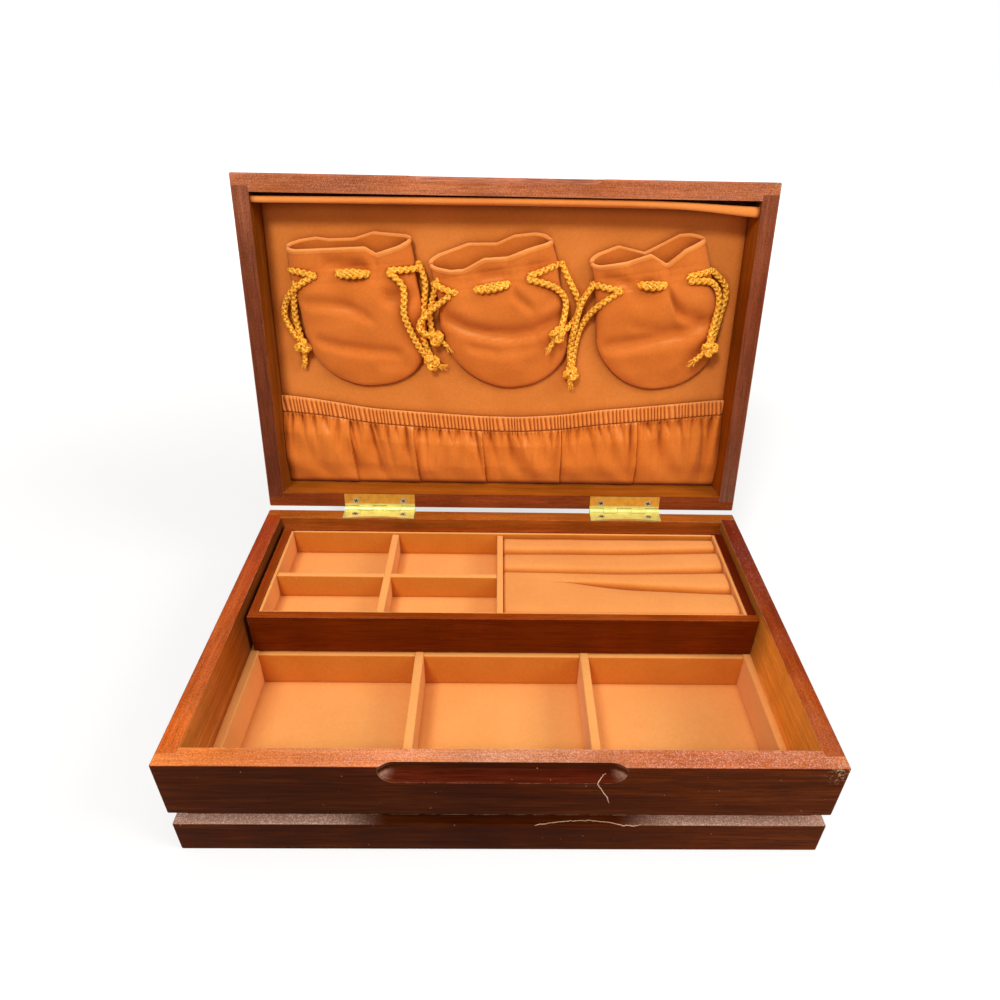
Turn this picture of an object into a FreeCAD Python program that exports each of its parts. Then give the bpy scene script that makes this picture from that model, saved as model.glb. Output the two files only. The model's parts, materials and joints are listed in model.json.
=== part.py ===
import FreeCAD, Part
import math
import os
from FreeCAD import Vector

os.makedirs("parts", exist_ok=True)

# Outer box, in millimetres, origin at the middle of the underside
box_width = 300.0
box_depth = 195.0
base_height = 61.5
wall_thickness = 9.5
corner_lap = 3.2
edge_round = 1.0
plinth_height = 19.7
groove_height = 8.1
groove_depth = 5.5
bottom_thickness = 5.0
bottom_rabbet = 4.0
pad_thickness = 3.2
fit_gap = 0.2

# Finger scoop in the front edges of base and lid
scoop_length = 106.0
scoop_reach = 2.8
scoop_drop = 10.7
scoop_radius = 9.5

# Base liner
liner_thickness = 3.5
liner_height = 22.8
divider_thickness = 3.4
long_divider_offset = 46.1
cross_divider_setback = 84.5

# Tray
tray_side_gap = 1.5
tray_front_gap = 0.5
tray_back_gap = 0.5
tray_rim_drop = 5.5
tray_seat_gap = 0.1
tray_shift = 1.1
tray_wall = 4.8
tray_lining = 1.5
tray_lining_drop = 1.0
tray_bottom_rise = 3.0
tray_bottom_thickness = 3.0
tray_bottom_groove = 2.0
tray_pad_thickness = 2.0
tray_divider = 3.7
tray_divider_drop = 0.6
ring_partition_offset = 2.5
cross_divider_share_gap = 31.0
ring_roll_count = 4
ring_board_thickness = 2.0
ring_roll_drop = 1.8
ring_roll_gap = 0.2

# Lid
lid_gap = 1.0
lid_wall_height = 24.5
lid_top_thickness = 5.0
lid_top_round = 2.0
lid_open_angle = 100.4
lining_depth = 20.5
strip_thickness = 3.4
strip_wall_gap = 2.2
strip_rim_drop = 1.0

# Hinges
hinge_inset = 71.0
hinge_length = 45.0
hinge_setback = 1.0
leaf_width = 9.2
leaf_thickness = 1.1
leaf_proud = 0.4
leaf_waist = 2.0
barrel_radius = 2.1
pin_radius = 1.0
pin_play = 0.05
barrel_play = 0.3
knuckle_count = 5
knuckle_play = 0.15
screw_spread = 15.2
screw_inset = 4.6
screw_head_radius = 2.2
screw_shank_radius = 1.2
screw_length = 9.0
screw_play = 0.04
screw_slot = 0.5

# Gathered pocket on the lid lining
pocket_top = 70.6
pocket_bottom_margin = 1.8
pocket_side_gap = 0.3
pocket_cloth = 1.2
pocket_foot = 0.2
pocket_belly = 3.0
pocket_bulge = 1.8
hem_height = 11.5
hem_thickness = 2.6
hem_stand = 1.2

# Drawstring pouches on the lid lining
pouch_side_margin = 15.0
pouch_gap = 14.5
pouch_row_shift = 1.0
pouch_pocket_gap = 4.2
pouch_strip_margin = 15.0
pouch_belly = 12.0
pouch_mouth = 13.0
pouch_cloth = 1.3
pouch_front_drop = 6.5
pouch_round = 0.41
pouch_tilts = (5.0, 9.5, 9.0)
pouch_names = ("left", "middle", "right")
cord_radius = 1.5
knot_radius = 4.0

# Values that follow from those above
half_w = box_width / 2
half_d = box_depth / 2
inner_x = half_w - wall_thickness
inner_y = half_d - wall_thickness
groove_top = plinth_height + groove_height
floor_z = bottom_thickness + pad_thickness
liner_top = floor_z + liner_height
tray_z = liner_top + tray_seat_gap
tray_top = base_height - tray_rim_drop
lid_rim = base_height + lid_gap
lid_inner_top = lid_rim + lid_wall_height
lining_z = lid_rim + lining_depth
hinge_y = half_d + hinge_setback
hinge_z = base_height + lid_gap / 2


def box(x0, x1, y0, y1, z0, z1):
    return Part.makeBox(x1 - x0, y1 - y0, z1 - z0, Vector(x0, y0, z0))


def rounded(block, radius):
    return block.makeFillet(radius, block.Edges)


def fuse(shapes):
    whole = shapes[0]
    for shape in shapes[1:]:
        whole = whole.fuse(shape)
    return whole.removeSplitter()


def emit(name, shape):
    if not shape.isValid() or shape.Volume <= 0 or not shape.Solids:
        raise ValueError(name + " is not a sound solid")
    shape.exportStep("parts/" + name + ".step")


def opened(shape):
    turned = shape.copy()
    turned.rotate(Vector(0, hinge_y, hinge_z), Vector(1, 0, 0), -lid_open_angle)
    return turned


def emit_lid(name, shape):
    emit(name, opened(shape))


# The loose tray lies a little to one side in the box
def emit_tray(name, shape):
    emit(name, shape.translated(Vector(tray_shift, 0, 0)))


# A point of the lid, across, up from the hinge edge and out from the lining
def on_lid(x, v, up):
    return Vector(x, half_d - v, lining_z - up)


# Base envelope with its rounded edges and the groove above the plinth
upper_block = rounded(box(-half_w, half_w, -half_d, half_d, groove_top, base_height), edge_round)
plinth_block = rounded(box(-half_w, half_w, -half_d, half_d, 0, plinth_height), edge_round)
neck_x = half_w - groove_depth
neck_y = half_d - groove_depth
neck_block = box(-neck_x, neck_x, -neck_y, neck_y, plinth_height / 2, groove_top + edge_round)
base_envelope = fuse([plinth_block, neck_block, upper_block])
bottom_x = inner_x + bottom_rabbet
bottom_y = inner_y + bottom_rabbet
bottom_seat = box(-bottom_x, bottom_x, -bottom_y, bottom_y, 0, bottom_thickness)
lap_y = inner_y + corner_lap


# The four walls of a frame, front and back over the lapped ends of the sides
def frame_walls(z0, z1, envelope):
    inside = box(-inner_x, inner_x, -inner_y, inner_y, z0, z1)
    side_zone = box(-half_w, half_w, -lap_y, lap_y, z0, z1).cut(
        box(-inner_x, inner_x, -lap_y, lap_y, z0, z1)
    )
    front = box(-half_w, half_w, -half_d, -inner_y, z0, z1).cut(side_zone)
    back = box(-half_w, half_w, inner_y, half_d, z0, z1).cut(side_zone)
    left = box(-half_w, -inner_x, -lap_y, lap_y, z0, z1).cut(inside)
    right = box(inner_x, half_w, -lap_y, lap_y, z0, z1).cut(inside)
    return [wall.common(envelope) for wall in (front, back, left, right)]


# The scoop cutter, a cylinder with ball ends in front of the front face
chord = math.hypot(scoop_reach, scoop_drop)
stand_off = math.sqrt(scoop_radius ** 2 - (chord / 2) ** 2)
scoop_out = stand_off * scoop_drop / chord - scoop_reach / 2
scoop_down = scoop_drop / 2 - stand_off * scoop_reach / chord
ball_reach = math.sqrt(scoop_radius ** 2 - scoop_out ** 2 - scoop_down ** 2)
scoop_half = scoop_length / 2 - ball_reach


def scoop(z):
    y = -half_d - scoop_out
    bar = Part.makeCylinder(scoop_radius, 2 * scoop_half, Vector(-scoop_half, y, z), Vector(1, 0, 0))
    balls = [Part.makeSphere(scoop_radius, Vector(x, y, z)) for x in (-scoop_half, scoop_half)]
    return fuse([bar] + balls)


# Hinges
hinge_centres = {"left": -half_w + hinge_inset, "right": half_w - hinge_inset}
knuckle_length = hinge_length / knuckle_count
leaf_seat = leaf_thickness - leaf_proud
screw_y = half_d - screw_inset


def along_x(radius, x0, x1):
    return Part.makeCylinder(radius, x1 - x0, Vector(x0, hinge_y, hinge_z), Vector(1, 0, 0))


# Space for a leaf and its barrel, facing up for the base and down for the lid
def hinge_seat(x, up):
    half = hinge_length / 2 + fit_gap
    y0 = half_d - leaf_width - fit_gap
    face = base_height if up > 0 else lid_rim
    inner = face - up * leaf_seat
    plate = box(x - half, x + half, y0, half_d + fit_gap, min(face, inner), max(face, inner))
    return fuse([plate, along_x(barrel_radius + barrel_play, x - half, x + half)])


# A countersunk screw with its head in the leaf, point away from the leaf
def screw(x, up, play):
    face = base_height + leaf_proud if up > 0 else lid_rim - leaf_proud
    down = Vector(0, 0, -up)
    head_depth = screw_head_radius - screw_shank_radius
    head = Part.makeCone(
        screw_head_radius + play, screw_shank_radius + play, head_depth, Vector(x, screw_y, face), down
    )
    shank = Part.makeCylinder(
        screw_shank_radius + play, screw_length + play, Vector(x, screw_y, face), down
    )
    return fuse([head, shank])


def screw_places(x):
    return [x - screw_spread, x + screw_spread]


def leaf(x, up, own_first, play):
    half = hinge_length / 2
    face = base_height + leaf_proud if up > 0 else lid_rim - leaf_proud
    other = face - up * leaf_thickness
    y0 = half_d - leaf_width
    plate = box(x - half, x + half, y0, hinge_y, min(face, other), max(face, other))
    shapes = [plate]
    slots = []
    for index in range(knuckle_count):
        x0 = x - half + index * knuckle_length
        x1 = x0 + knuckle_length
        if index % 2 == own_first:
            shapes.append(along_x(barrel_radius, x0 + knuckle_play / 2, x1 - knuckle_play / 2))
        else:
            slots.append(along_x(barrel_radius + barrel_play, x0 - knuckle_play / 2, x1 + knuckle_play / 2))
    whole = fuse(shapes)
    for slot in slots:
        whole = whole.cut(slot)
    whole = whole.cut(along_x(pin_radius + play, x - half - 1, x + half + 1))
    for place in screw_places(x):
        whole = whole.cut(screw(place, up, screw_play))
    return whole


def slotted(x, up):
    face = base_height + leaf_proud if up > 0 else lid_rim - leaf_proud
    reach = screw_head_radius + 1
    cut = box(
        x - reach, x + reach, screw_y - screw_slot / 2, screw_y + screw_slot / 2,
        face - screw_slot, face + screw_slot,
    )
    return screw(x, up, 0).cut(cut)


# Base box
walls = frame_walls(0, base_height, base_envelope)
base_front, base_back, base_left, base_right = [wall.cut(bottom_seat) for wall in walls]
base_front = base_front.cut(scoop(base_height - scoop_down))
for x in hinge_centres.values():
    base_back = base_back.cut(hinge_seat(x, 1))
    for place in screw_places(x):
        base_back = base_back.cut(screw(place, 1, screw_play))
emit("base_front_wall", base_front)
emit("base_back_wall", base_back)
emit("base_left_wall", base_left)
emit("base_right_wall", base_right)
emit("base_bottom_panel", bottom_seat)
emit("base_floor_pad", box(-inner_x, inner_x, -inner_y, inner_y, bottom_thickness, floor_z))

# Base liner, with halving joints where the dividers cross
liner_in_x = inner_x - liner_thickness
liner_in_y = inner_y - liner_thickness
cross_y0 = -inner_y + liner_thickness + cross_divider_setback
cross_y1 = cross_y0 + divider_thickness
half_joint = floor_z + liner_height / 2
emit("liner_left", box(-inner_x, -liner_in_x, -inner_y, inner_y, floor_z, liner_top))
emit("liner_right", box(liner_in_x, inner_x, -inner_y, inner_y, floor_z, liner_top))
emit("liner_front", box(-liner_in_x, liner_in_x, -inner_y, -liner_in_y, floor_z, liner_top))
emit("liner_back", box(-liner_in_x, liner_in_x, liner_in_y, inner_y, floor_z, liner_top))
cross = box(-liner_in_x, liner_in_x, cross_y0, cross_y1, floor_z, liner_top)
for side, name in ((-1, "left"), (1, "right")):
    x0 = side * long_divider_offset - divider_thickness / 2
    x1 = x0 + divider_thickness
    cross = cross.cut(box(x0, x1, cross_y0, cross_y1, half_joint, liner_top))
    divider = box(x0, x1, -liner_in_y, liner_in_y, floor_z, liner_top)
    divider = divider.cut(box(x0, x1, cross_y0, cross_y1, floor_z, half_joint))
    emit("liner_" + name + "_divider", divider)
emit("liner_cross_divider", cross)

# Tray, resting on the liner at the back of the box
tray_x = inner_x - tray_side_gap
tray_y0 = (cross_y0 + cross_y1) / 2 - tray_front_gap
tray_y1 = inner_y - tray_back_gap
tray_in_x = tray_x - tray_wall
tray_in_y0 = tray_y0 + tray_wall
tray_in_y1 = tray_y1 - tray_wall
tray_panel_z0 = tray_z + tray_bottom_rise
tray_panel_z1 = tray_panel_z0 + tray_bottom_thickness
tray_floor = tray_panel_z1 + tray_pad_thickness
tray_panel = box(
    -tray_in_x - tray_bottom_groove, tray_in_x + tray_bottom_groove,
    tray_in_y0 - tray_bottom_groove, tray_in_y1 + tray_bottom_groove,
    tray_panel_z0, tray_panel_z1,
)
emit_tray("tray_bottom_panel", tray_panel)
emit_tray("tray_front_wall", box(-tray_x, tray_x, tray_y0, tray_in_y0, tray_z, tray_top).cut(tray_panel))
emit_tray("tray_back_wall", box(-tray_x, tray_x, tray_in_y1, tray_y1, tray_z, tray_top).cut(tray_panel))
for name, x0, x1 in (("left", -tray_x, -tray_in_x), ("right", tray_in_x, tray_x)):
    side = box(x0, x1, tray_in_y0, tray_in_y1, tray_z, tray_top)
    emit_tray("tray_" + name + "_wall", side.cut(tray_panel))
emit_tray("tray_floor_pad", box(-tray_in_x, tray_in_x, tray_in_y0, tray_in_y1, tray_panel_z1, tray_floor))

# Tray lining, partition and dividers
tray_lining_top = tray_top - tray_lining_drop
tray_divider_top = tray_top - tray_divider_drop - tray_lining_drop
cell_x = tray_in_x - tray_lining
cell_y0 = tray_in_y0 + tray_lining
cell_y1 = tray_in_y1 - tray_lining
emit_tray("tray_lining_left", box(-tray_in_x, -cell_x, tray_in_y0, tray_in_y1, tray_floor, tray_lining_top))
emit_tray("tray_lining_right", box(cell_x, tray_in_x, tray_in_y0, tray_in_y1, tray_floor, tray_lining_top))
emit_tray("tray_lining_front", box(-cell_x, cell_x, tray_in_y0, cell_y0, tray_floor, tray_lining_top))
emit_tray("tray_lining_back", box(-cell_x, cell_x, cell_y1, tray_in_y1, tray_floor, tray_lining_top))
part_x0 = -ring_partition_offset - tray_divider / 2
part_x1 = part_x0 + tray_divider
emit_tray("tray_ring_partition", box(part_x0, part_x1, cell_y0, cell_y1, tray_floor, tray_divider_top))
long_x0 = (part_x0 - cell_x - tray_divider) / 2
long_x1 = long_x0 + tray_divider
tray_cross_y0 = cell_y0 + cross_divider_share_gap
tray_cross_y1 = tray_cross_y0 + tray_divider
tray_half_joint = (tray_floor + tray_divider_top) / 2
tray_long = box(long_x0, long_x1, cell_y0, cell_y1, tray_floor, tray_divider_top)
tray_cross = box(-cell_x, part_x0, tray_cross_y0, tray_cross_y1, tray_floor, tray_divider_top)
lower_half = box(long_x0, long_x1, tray_cross_y0, tray_cross_y1, tray_floor, tray_half_joint)
upper_half = box(long_x0, long_x1, tray_cross_y0, tray_cross_y1, tray_half_joint, tray_divider_top)
emit_tray("tray_long_divider", tray_long.cut(lower_half))
emit_tray("tray_cross_divider", tray_cross.cut(upper_half))

# Ring rolls, each a crowned cushion drawn in at its ends
board_top = tray_floor + ring_board_thickness
emit_tray("ring_pad_board", box(part_x1, cell_x, cell_y0, cell_y1, tray_floor, board_top))
roll_pitch = (cell_y1 - cell_y0) / ring_roll_count
roll_half = (roll_pitch - ring_roll_gap) / 2
roll_height = tray_top - ring_roll_drop - board_top
roll_stations = (
    (0.0, 0.86, 0.78), (0.02, 0.93, 0.89), (0.06, 0.98, 0.96), (0.15, 1.0, 1.0),
    (0.85, 1.0, 1.0), (0.94, 0.98, 0.96), (0.98, 0.93, 0.89), (1.0, 0.86, 0.78),
)


def roll_section(x, y, half, height):
    foot = 0.94 * half
    shoulder = board_top + 0.58 * height
    corners = [
        Vector(x, y - foot, board_top),
        Vector(x, y + foot, board_top),
        Vector(x, y + half, shoulder),
        Vector(x, y - half, shoulder),
    ]
    crown = Part.Arc(corners[2], Vector(x, y, board_top + height), corners[3]).toShape()
    edges = [
        Part.makeLine(corners[0], corners[1]),
        Part.makeLine(corners[1], corners[2]),
        crown,
        Part.makeLine(corners[3], corners[0]),
    ]
    return Part.Wire(edges)


for index in range(ring_roll_count):
    y = cell_y0 + (index + 0.5) * roll_pitch
    span = cell_x - part_x1 - 2 * ring_roll_gap
    wires = [
        roll_section(part_x1 + ring_roll_gap + share * span, y, roll_half * wide, roll_height * tall)
        for share, wide, tall in roll_stations
    ]
    emit_tray("ring_roll_" + str(index + 1), Part.makeLoft(wires, True, True))

# Lid box, built closed and turned open about the hinge axis
lid_block = box(-half_w, half_w, -half_d, half_d, lid_rim, lid_inner_top + 2 * edge_round)
lid_envelope = rounded(lid_block, edge_round)
lid_front, lid_back, lid_left, lid_right = frame_walls(lid_rim, lid_inner_top, lid_envelope)
lid_front = lid_front.cut(scoop(lid_rim + scoop_down))
for x in hinge_centres.values():
    lid_back = lid_back.cut(hinge_seat(x, -1))
    for place in screw_places(x):
        lid_back = lid_back.cut(screw(place, -1, screw_play))
emit_lid("lid_front_wall", lid_front)
emit_lid("lid_back_wall", lid_back)
emit_lid("lid_left_wall", lid_left)
emit_lid("lid_right_wall", lid_right)
lid_top_z = lid_inner_top + lid_top_thickness
top_panel = box(-half_w, half_w, -half_d, half_d, lid_inner_top, lid_top_z)
side_edges = [edge for edge in top_panel.Edges if edge.BoundBox.ZLength > 1]
top_panel = top_panel.makeFillet(edge_round, side_edges)
top_edges = [edge for edge in top_panel.Edges if edge.BoundBox.ZMin > lid_top_z - 0.01]
emit_lid("lid_top_panel", top_panel.makeFillet(lid_top_round, top_edges))
lining = box(-inner_x, inner_x, -inner_y, inner_y, lining_z, lid_inner_top)
emit_lid("lid_lining_panel", lining)
strip_y0 = -inner_y + strip_wall_gap
strip_y1 = strip_y0 + strip_thickness
strip_x = inner_x - fit_gap
emit_lid("lid_lining_strip", box(-strip_x, strip_x, strip_y0, strip_y1, lid_rim + strip_rim_drop, lining_z))

# Hinge leaves, pins and screws
for name, x in hinge_centres.items():
    base_leaf = leaf(x, 1, 0, 0)
    edge_y = half_d - leaf_width
    waist_half = hinge_length / 2 - leaf_waist
    waist_radius = (waist_half ** 2 + leaf_waist ** 2) / (2 * leaf_waist)
    waist_at = Vector(x, edge_y + leaf_waist - waist_radius, base_height - leaf_thickness)
    base_leaf = base_leaf.cut(Part.makeCylinder(waist_radius, 3 * leaf_thickness, waist_at))
    emit(name + "_hinge_base_leaf", base_leaf)
    emit_lid(name + "_hinge_lid_leaf", leaf(x, -1, 1, pin_play))
    emit(name + "_hinge_pin", along_x(pin_radius, x - hinge_length / 2, x + hinge_length / 2))
places = [place for x in hinge_centres.values() for place in screw_places(x)]
emit("hinge_base_screws", Part.makeCompound([slotted(place, 1) for place in places]))
emit_lid("hinge_lid_screws", Part.makeCompound([slotted(place, -1) for place in places]))

# Pocket cloth, six panels that belly out between five pleats, under a sagging hem
pocket_x = inner_x - pocket_side_gap
pocket_bottom = wall_thickness + pocket_bottom_margin
pleats = (-1.0, -0.69, -0.39, -0.08, 0.275, 0.62, 1.0)
sag = ((-1.0, 0.0), (-0.6, 9.1), (0.07, 16.2), (0.21, 15.0), (0.37, 11.2), (0.655, 6.5), (1.0, 3.5))


def pocket_section(v, stand, bulge):
    chains = []
    for lift in (stand + pocket_cloth, stand):
        arcs = []
        for a, b in zip(pleats, pleats[1:]):
            start = on_lid(a * pocket_x, v, lift)
            middle = on_lid((a + b) / 2 * pocket_x, v, lift + bulge)
            end = on_lid(b * pocket_x, v, lift)
            arcs.append(Part.Arc(start, middle, end).toShape())
        chains.append(arcs)
    near, far = chains
    ends = [
        Part.makeLine(on_lid(x, v, stand), on_lid(x, v, stand + pocket_cloth))
        for x in (-pocket_x, pocket_x)
    ]
    return Part.Wire(Part.__sortEdges__(near + far + ends))


# The part of the lid plane below the sagging edge, as a block that stands on the lining
def below_hem(drop, reach):
    points = [on_lid(a * pocket_x, pocket_top - b - drop, 0) for a, b in sag]
    foot = [on_lid(side * pocket_x, pocket_bottom - 1, 0) for side in (1, -1)]
    arcs = [
        Part.Arc(points[i], points[i + 1], points[i + 2]).toShape() for i in range(0, len(points) - 1, 2)
    ]
    lines = [
        Part.makeLine(points[-1], foot[0]),
        Part.makeLine(foot[0], foot[1]),
        Part.makeLine(foot[1], points[0]),
    ]
    face = Part.Face(Part.Wire(arcs + lines))
    return face.extrude(Vector(0, 0, -reach))


pocket_rise = pocket_top - pocket_bottom
pocket_wires = [
    pocket_section(pocket_bottom, pocket_foot, pocket_bulge / 4),
    pocket_section(pocket_bottom + 0.25 * pocket_rise, 0.8 * pocket_belly, pocket_bulge),
    pocket_section(pocket_bottom + 0.6 * pocket_rise, pocket_belly, pocket_bulge),
    pocket_section(pocket_top, hem_stand, pocket_bulge / 3),
]
pocket = Part.makeLoft(pocket_wires, True).common(below_hem(hem_height, lining_depth))
emit_lid("lid_pocket", pocket)
band = below_hem(0, hem_stand + hem_thickness).cut(below_hem(hem_height, lining_depth))
band = band.cut(box(-half_w, half_w, -half_d, half_d, lining_z - hem_stand, lining_z + 1))
emit_lid("lid_pocket_elastic", band)

# Pouches, flat at the back, bellied in front, open at the mouth
pouch_width = (2 * inner_x - 2 * pouch_side_margin - 2 * pouch_gap) / 3
pouch_bottom = pocket_top + pouch_pocket_gap
strip_foot = box_depth - wall_thickness - strip_wall_gap - strip_thickness
pouch_height = strip_foot - pouch_strip_margin - pouch_bottom
pouch_half = pouch_width / 2
pouch_centres = [pouch_row_shift + (i - 1) * (pouch_width + pouch_gap) for i in range(3)]


def pouch_section(s, half, foot, lift):
    side = 0.72 * half
    shoulder = foot + 0.8 * (lift - foot)
    flank = 0.93 * half
    points = [
        Vector(-half, s, foot),
        Vector(-flank, s, foot + 0.5 * (lift - foot)),
        Vector(-side, s, shoulder),
        Vector(0, s, lift),
        Vector(side, s, shoulder),
        Vector(flank, s, foot + 0.5 * (lift - foot)),
        Vector(half, s, foot),
    ]
    edges = [Part.Arc(points[i], points[i + 1], points[i + 2]).toShape() for i in (0, 2, 4)]
    return Part.Wire(edges + [Part.makeLine(points[6], points[0])])


# Height, half width and lift of each section, the first ones following the round bottom
bottom_rise = pouch_round * pouch_height
pouch_stations = []
for share, lift in ((0.016, 0.2), (0.11, 0.45), (0.33, 0.72), (0.65, 0.9)):
    half = pouch_half * math.sqrt(1 - (1 - share) ** 2)
    pouch_stations.append((share * bottom_rise, half, lift * pouch_belly))
pouch_stations += [
    (bottom_rise, 0.99 * pouch_half, pouch_belly),
    (0.66 * pouch_height, 0.98 * pouch_half, pouch_belly),
    (0.79 * pouch_height, pouch_half, 0.96 * pouch_belly),
    (pouch_height, 0.94 * pouch_half, pouch_mouth),
]
skin = Part.makeLoft([pouch_section(s, half, 0, lift) for s, half, lift in pouch_stations], True)
hollow_wires = [
    pouch_section(s, 0.9 * half, pouch_cloth, lift - pouch_cloth) for s, half, lift in pouch_stations[2:]
]
hollow_wires.append(
    pouch_section(1.05 * pouch_height, 0.9 * 0.94 * pouch_half, pouch_cloth, pouch_mouth - pouch_cloth)
)
hollow = Part.makeLoft(hollow_wires, True)
mouth_edge = Part.makePolygon([
    Vector(-pouch_width, pouch_height, 0),
    Vector(-pouch_width, pouch_height - pouch_front_drop, pouch_mouth),
    Vector(-pouch_width, pouch_height - pouch_front_drop, 2 * pouch_mouth),
    Vector(-pouch_width, 2 * pouch_height, 2 * pouch_mouth),
    Vector(-pouch_width, 2 * pouch_height, -pouch_mouth),
    Vector(-pouch_width, pouch_height, -pouch_mouth),
    Vector(-pouch_width, pouch_height, 0),
])
mouth_cut = Part.Face(mouth_edge).extrude(Vector(2 * pouch_width, 0, 0))
pouch = skin.cut(hollow).cut(mouth_cut)


# Puts a shape made in across, along and out coordinates on the lid lining
def laid(shape, x, v, tilt):
    placed = shape.copy()
    placed.rotate(Vector(0, pouch_height / 2, 0), Vector(0, 0, 1), tilt)
    placed.translate(Vector(x, v, 0))
    flip = FreeCAD.Matrix(1, 0, 0, 0, 0, -1, 0, half_d, 0, 0, -1, lining_z, 0, 0, 0, 1)
    return placed.transformGeometry(flip)


for name, x, tilt in zip(pouch_names, pouch_centres, pouch_tilts):
    emit_lid(name + "_pouch", laid(pouch, x, pouch_bottom, tilt))


# A round cord along straight runs joined by tangent arcs
def cord(points, radius):
    edges = []
    radii = []
    start = points[0]
    for before, corner, after in zip(points, points[1:], points[2:]):
        back = before.sub(corner)
        ahead = after.sub(corner)
        turn = math.pi - back.getAngle(ahead)
        trim = 0.45 * min(back.Length, ahead.Length)
        bend = trim / math.tan(turn / 2)
        radii.append(round(bend, 1))
        back.normalize()
        ahead.normalize()
        arc_start = corner.add(back.multiply(trim))
        arc_end = corner.add(ahead.multiply(trim))
        inward = arc_start.add(arc_end).multiply(0.5).sub(corner)
        reach = bend / math.cos(turn / 2) - bend
        inward.normalize()
        middle = corner.add(inward.multiply(reach))
        edges.append(Part.makeLine(start, arc_start))
        edges.append(Part.Arc(arc_start, middle, arc_end).toShape())
        start = arc_end
    edges.append(Part.makeLine(start, points[-1]))
    path = Part.Wire(edges)
    ring = Part.Wire([Part.makeCircle(radius, points[0], points[1].sub(points[0]))])
    tube = path.makePipeShell([ring], True, False)
    print("cord", round(path.Length, 1), "mm, bend radii", radii)
    return tube


# Cord routes of each pouch, across and up from the pouch's bottom and out from the lining
tails = {
    "left_pouch_left_cord": (
        ((-22.3, 67.1, 11), (-28.8, 64, 11.4), (-36.3, 59.1, 9.4), (-42.7, 52.3, 5), (-45.9, 43.9, 2.3),
         (-43.2, 35.6, 2.5), (-37.4, 28, 3.6)),
        ((-37.3, 57.1, 6.5), (-39, 47, 3.6), (-38.6, 38.6, 2.8), (-36, 28.6, 3.8)),
    ),
    "left_pouch_right_cord": (
        ((19, 69.2, 11.4), (27.6, 64.4, 12.2), (28.6, 55.4, 12.4), (27, 46.2, 12.2), (31.5, 34.9, 10.2),
         (36.2, 24.2, 7), (41, 17.8, 4.6)),
        ((35.9, 75, 5), (40.8, 65.5, 4), (39.2, 52.3, 3.6), (36.9, 39.2, 5), (38.7, 27.2, 5.2),
         (42.8, 18.4, 4.6)),
    ),
    "middle_pouch_left_cord": (
        ((-33.3, 56.7, 10.2), (-43, 50.1, 9.8), (-52, 41.5, 11.6), (-52, 35, 11), (-45.5, 32.4, 7.6)),
        ((-41.7, 62.9, 5.5), (-44.5, 53.5, 3.6), (-47.4, 43, 3), (-45, 33.6, 4)),
    ),
    "middle_pouch_right_cord": (
        ((31.5, 76.2, 4.5), (36.9, 64.9, 4.5), (42.8, 55.7, 3), (44.3, 49.9, 2.2), (41.4, 42, 2.6),
         (36.6, 38.4, 6.8), (33, 36.6, 9.8)),
        ((11.7, 66.5, 11.6), (22.2, 64.9, 12.6), (31.4, 60.8, 9.6), (36.8, 51.8, 5.6), (32.6, 38.4, 9.8)),
    ),
    "right_pouch_left_cord": (
        ((-20.9, 61.1, 11.4), (-32.5, 53.8, 9.6), (-41.5, 43.6, 4), (-46.2, 30.8, 2.5), (-47.4, 14, 3.8)),
        ((-37.3, 63.7, 6.5), (-43.4, 55.3, 6), (-45.9, 47, 7.2), (-47.6, 37, 7), (-49.6, 27, 3.6),
         (-48.8, 14, 4)),
    ),
    "right_pouch_right_cord": (
        ((31.8, 73.1, 5.5), (41.2, 66.2, 3.4), (43.4, 59.3, 2.6), (41.5, 49.4, 2.8), (38.9, 39.4, 6),
         (35.6, 31, 9.4)),
        ((17.3, 67.8, 11.6), (26.5, 64, 12.2), (33.9, 57.5, 9.8), (37, 47.8, 6.2), (34.6, 38.6, 8.6),
         (34.4, 31.2, 10)),
    ),
}
knots = {
    "left_pouch_left_cord": ((-35.3, 25.1, 4.2), (-35, 18, 3), (-36.5, 11, 2.2)),
    "left_pouch_right_cord": ((43.1, 15.9, 4.5), (41, 11.5, 4.8), (36.5, 8.5, 5.4)),
    "middle_pouch_left_cord": ((-42.9, 31.2, 5.5), (-37.6, 28.3, 4.6), (-33.5, 23.5, 5.5)),
    "middle_pouch_right_cord": ((30.7, 35.1, 11), (28, 30.5, 12.6), (24.5, 25.5, 13.6)),
    "right_pouch_left_cord": ((-48.1, 10.7, 4.2), (-48.6, 5.6, 3.6), (-47.2, 0.5, 3)),
    "right_pouch_right_cord": ((34.5, 28, 11), (29.5, 24.5, 12.4), (23.5, 19, 13.4)),
}
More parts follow.
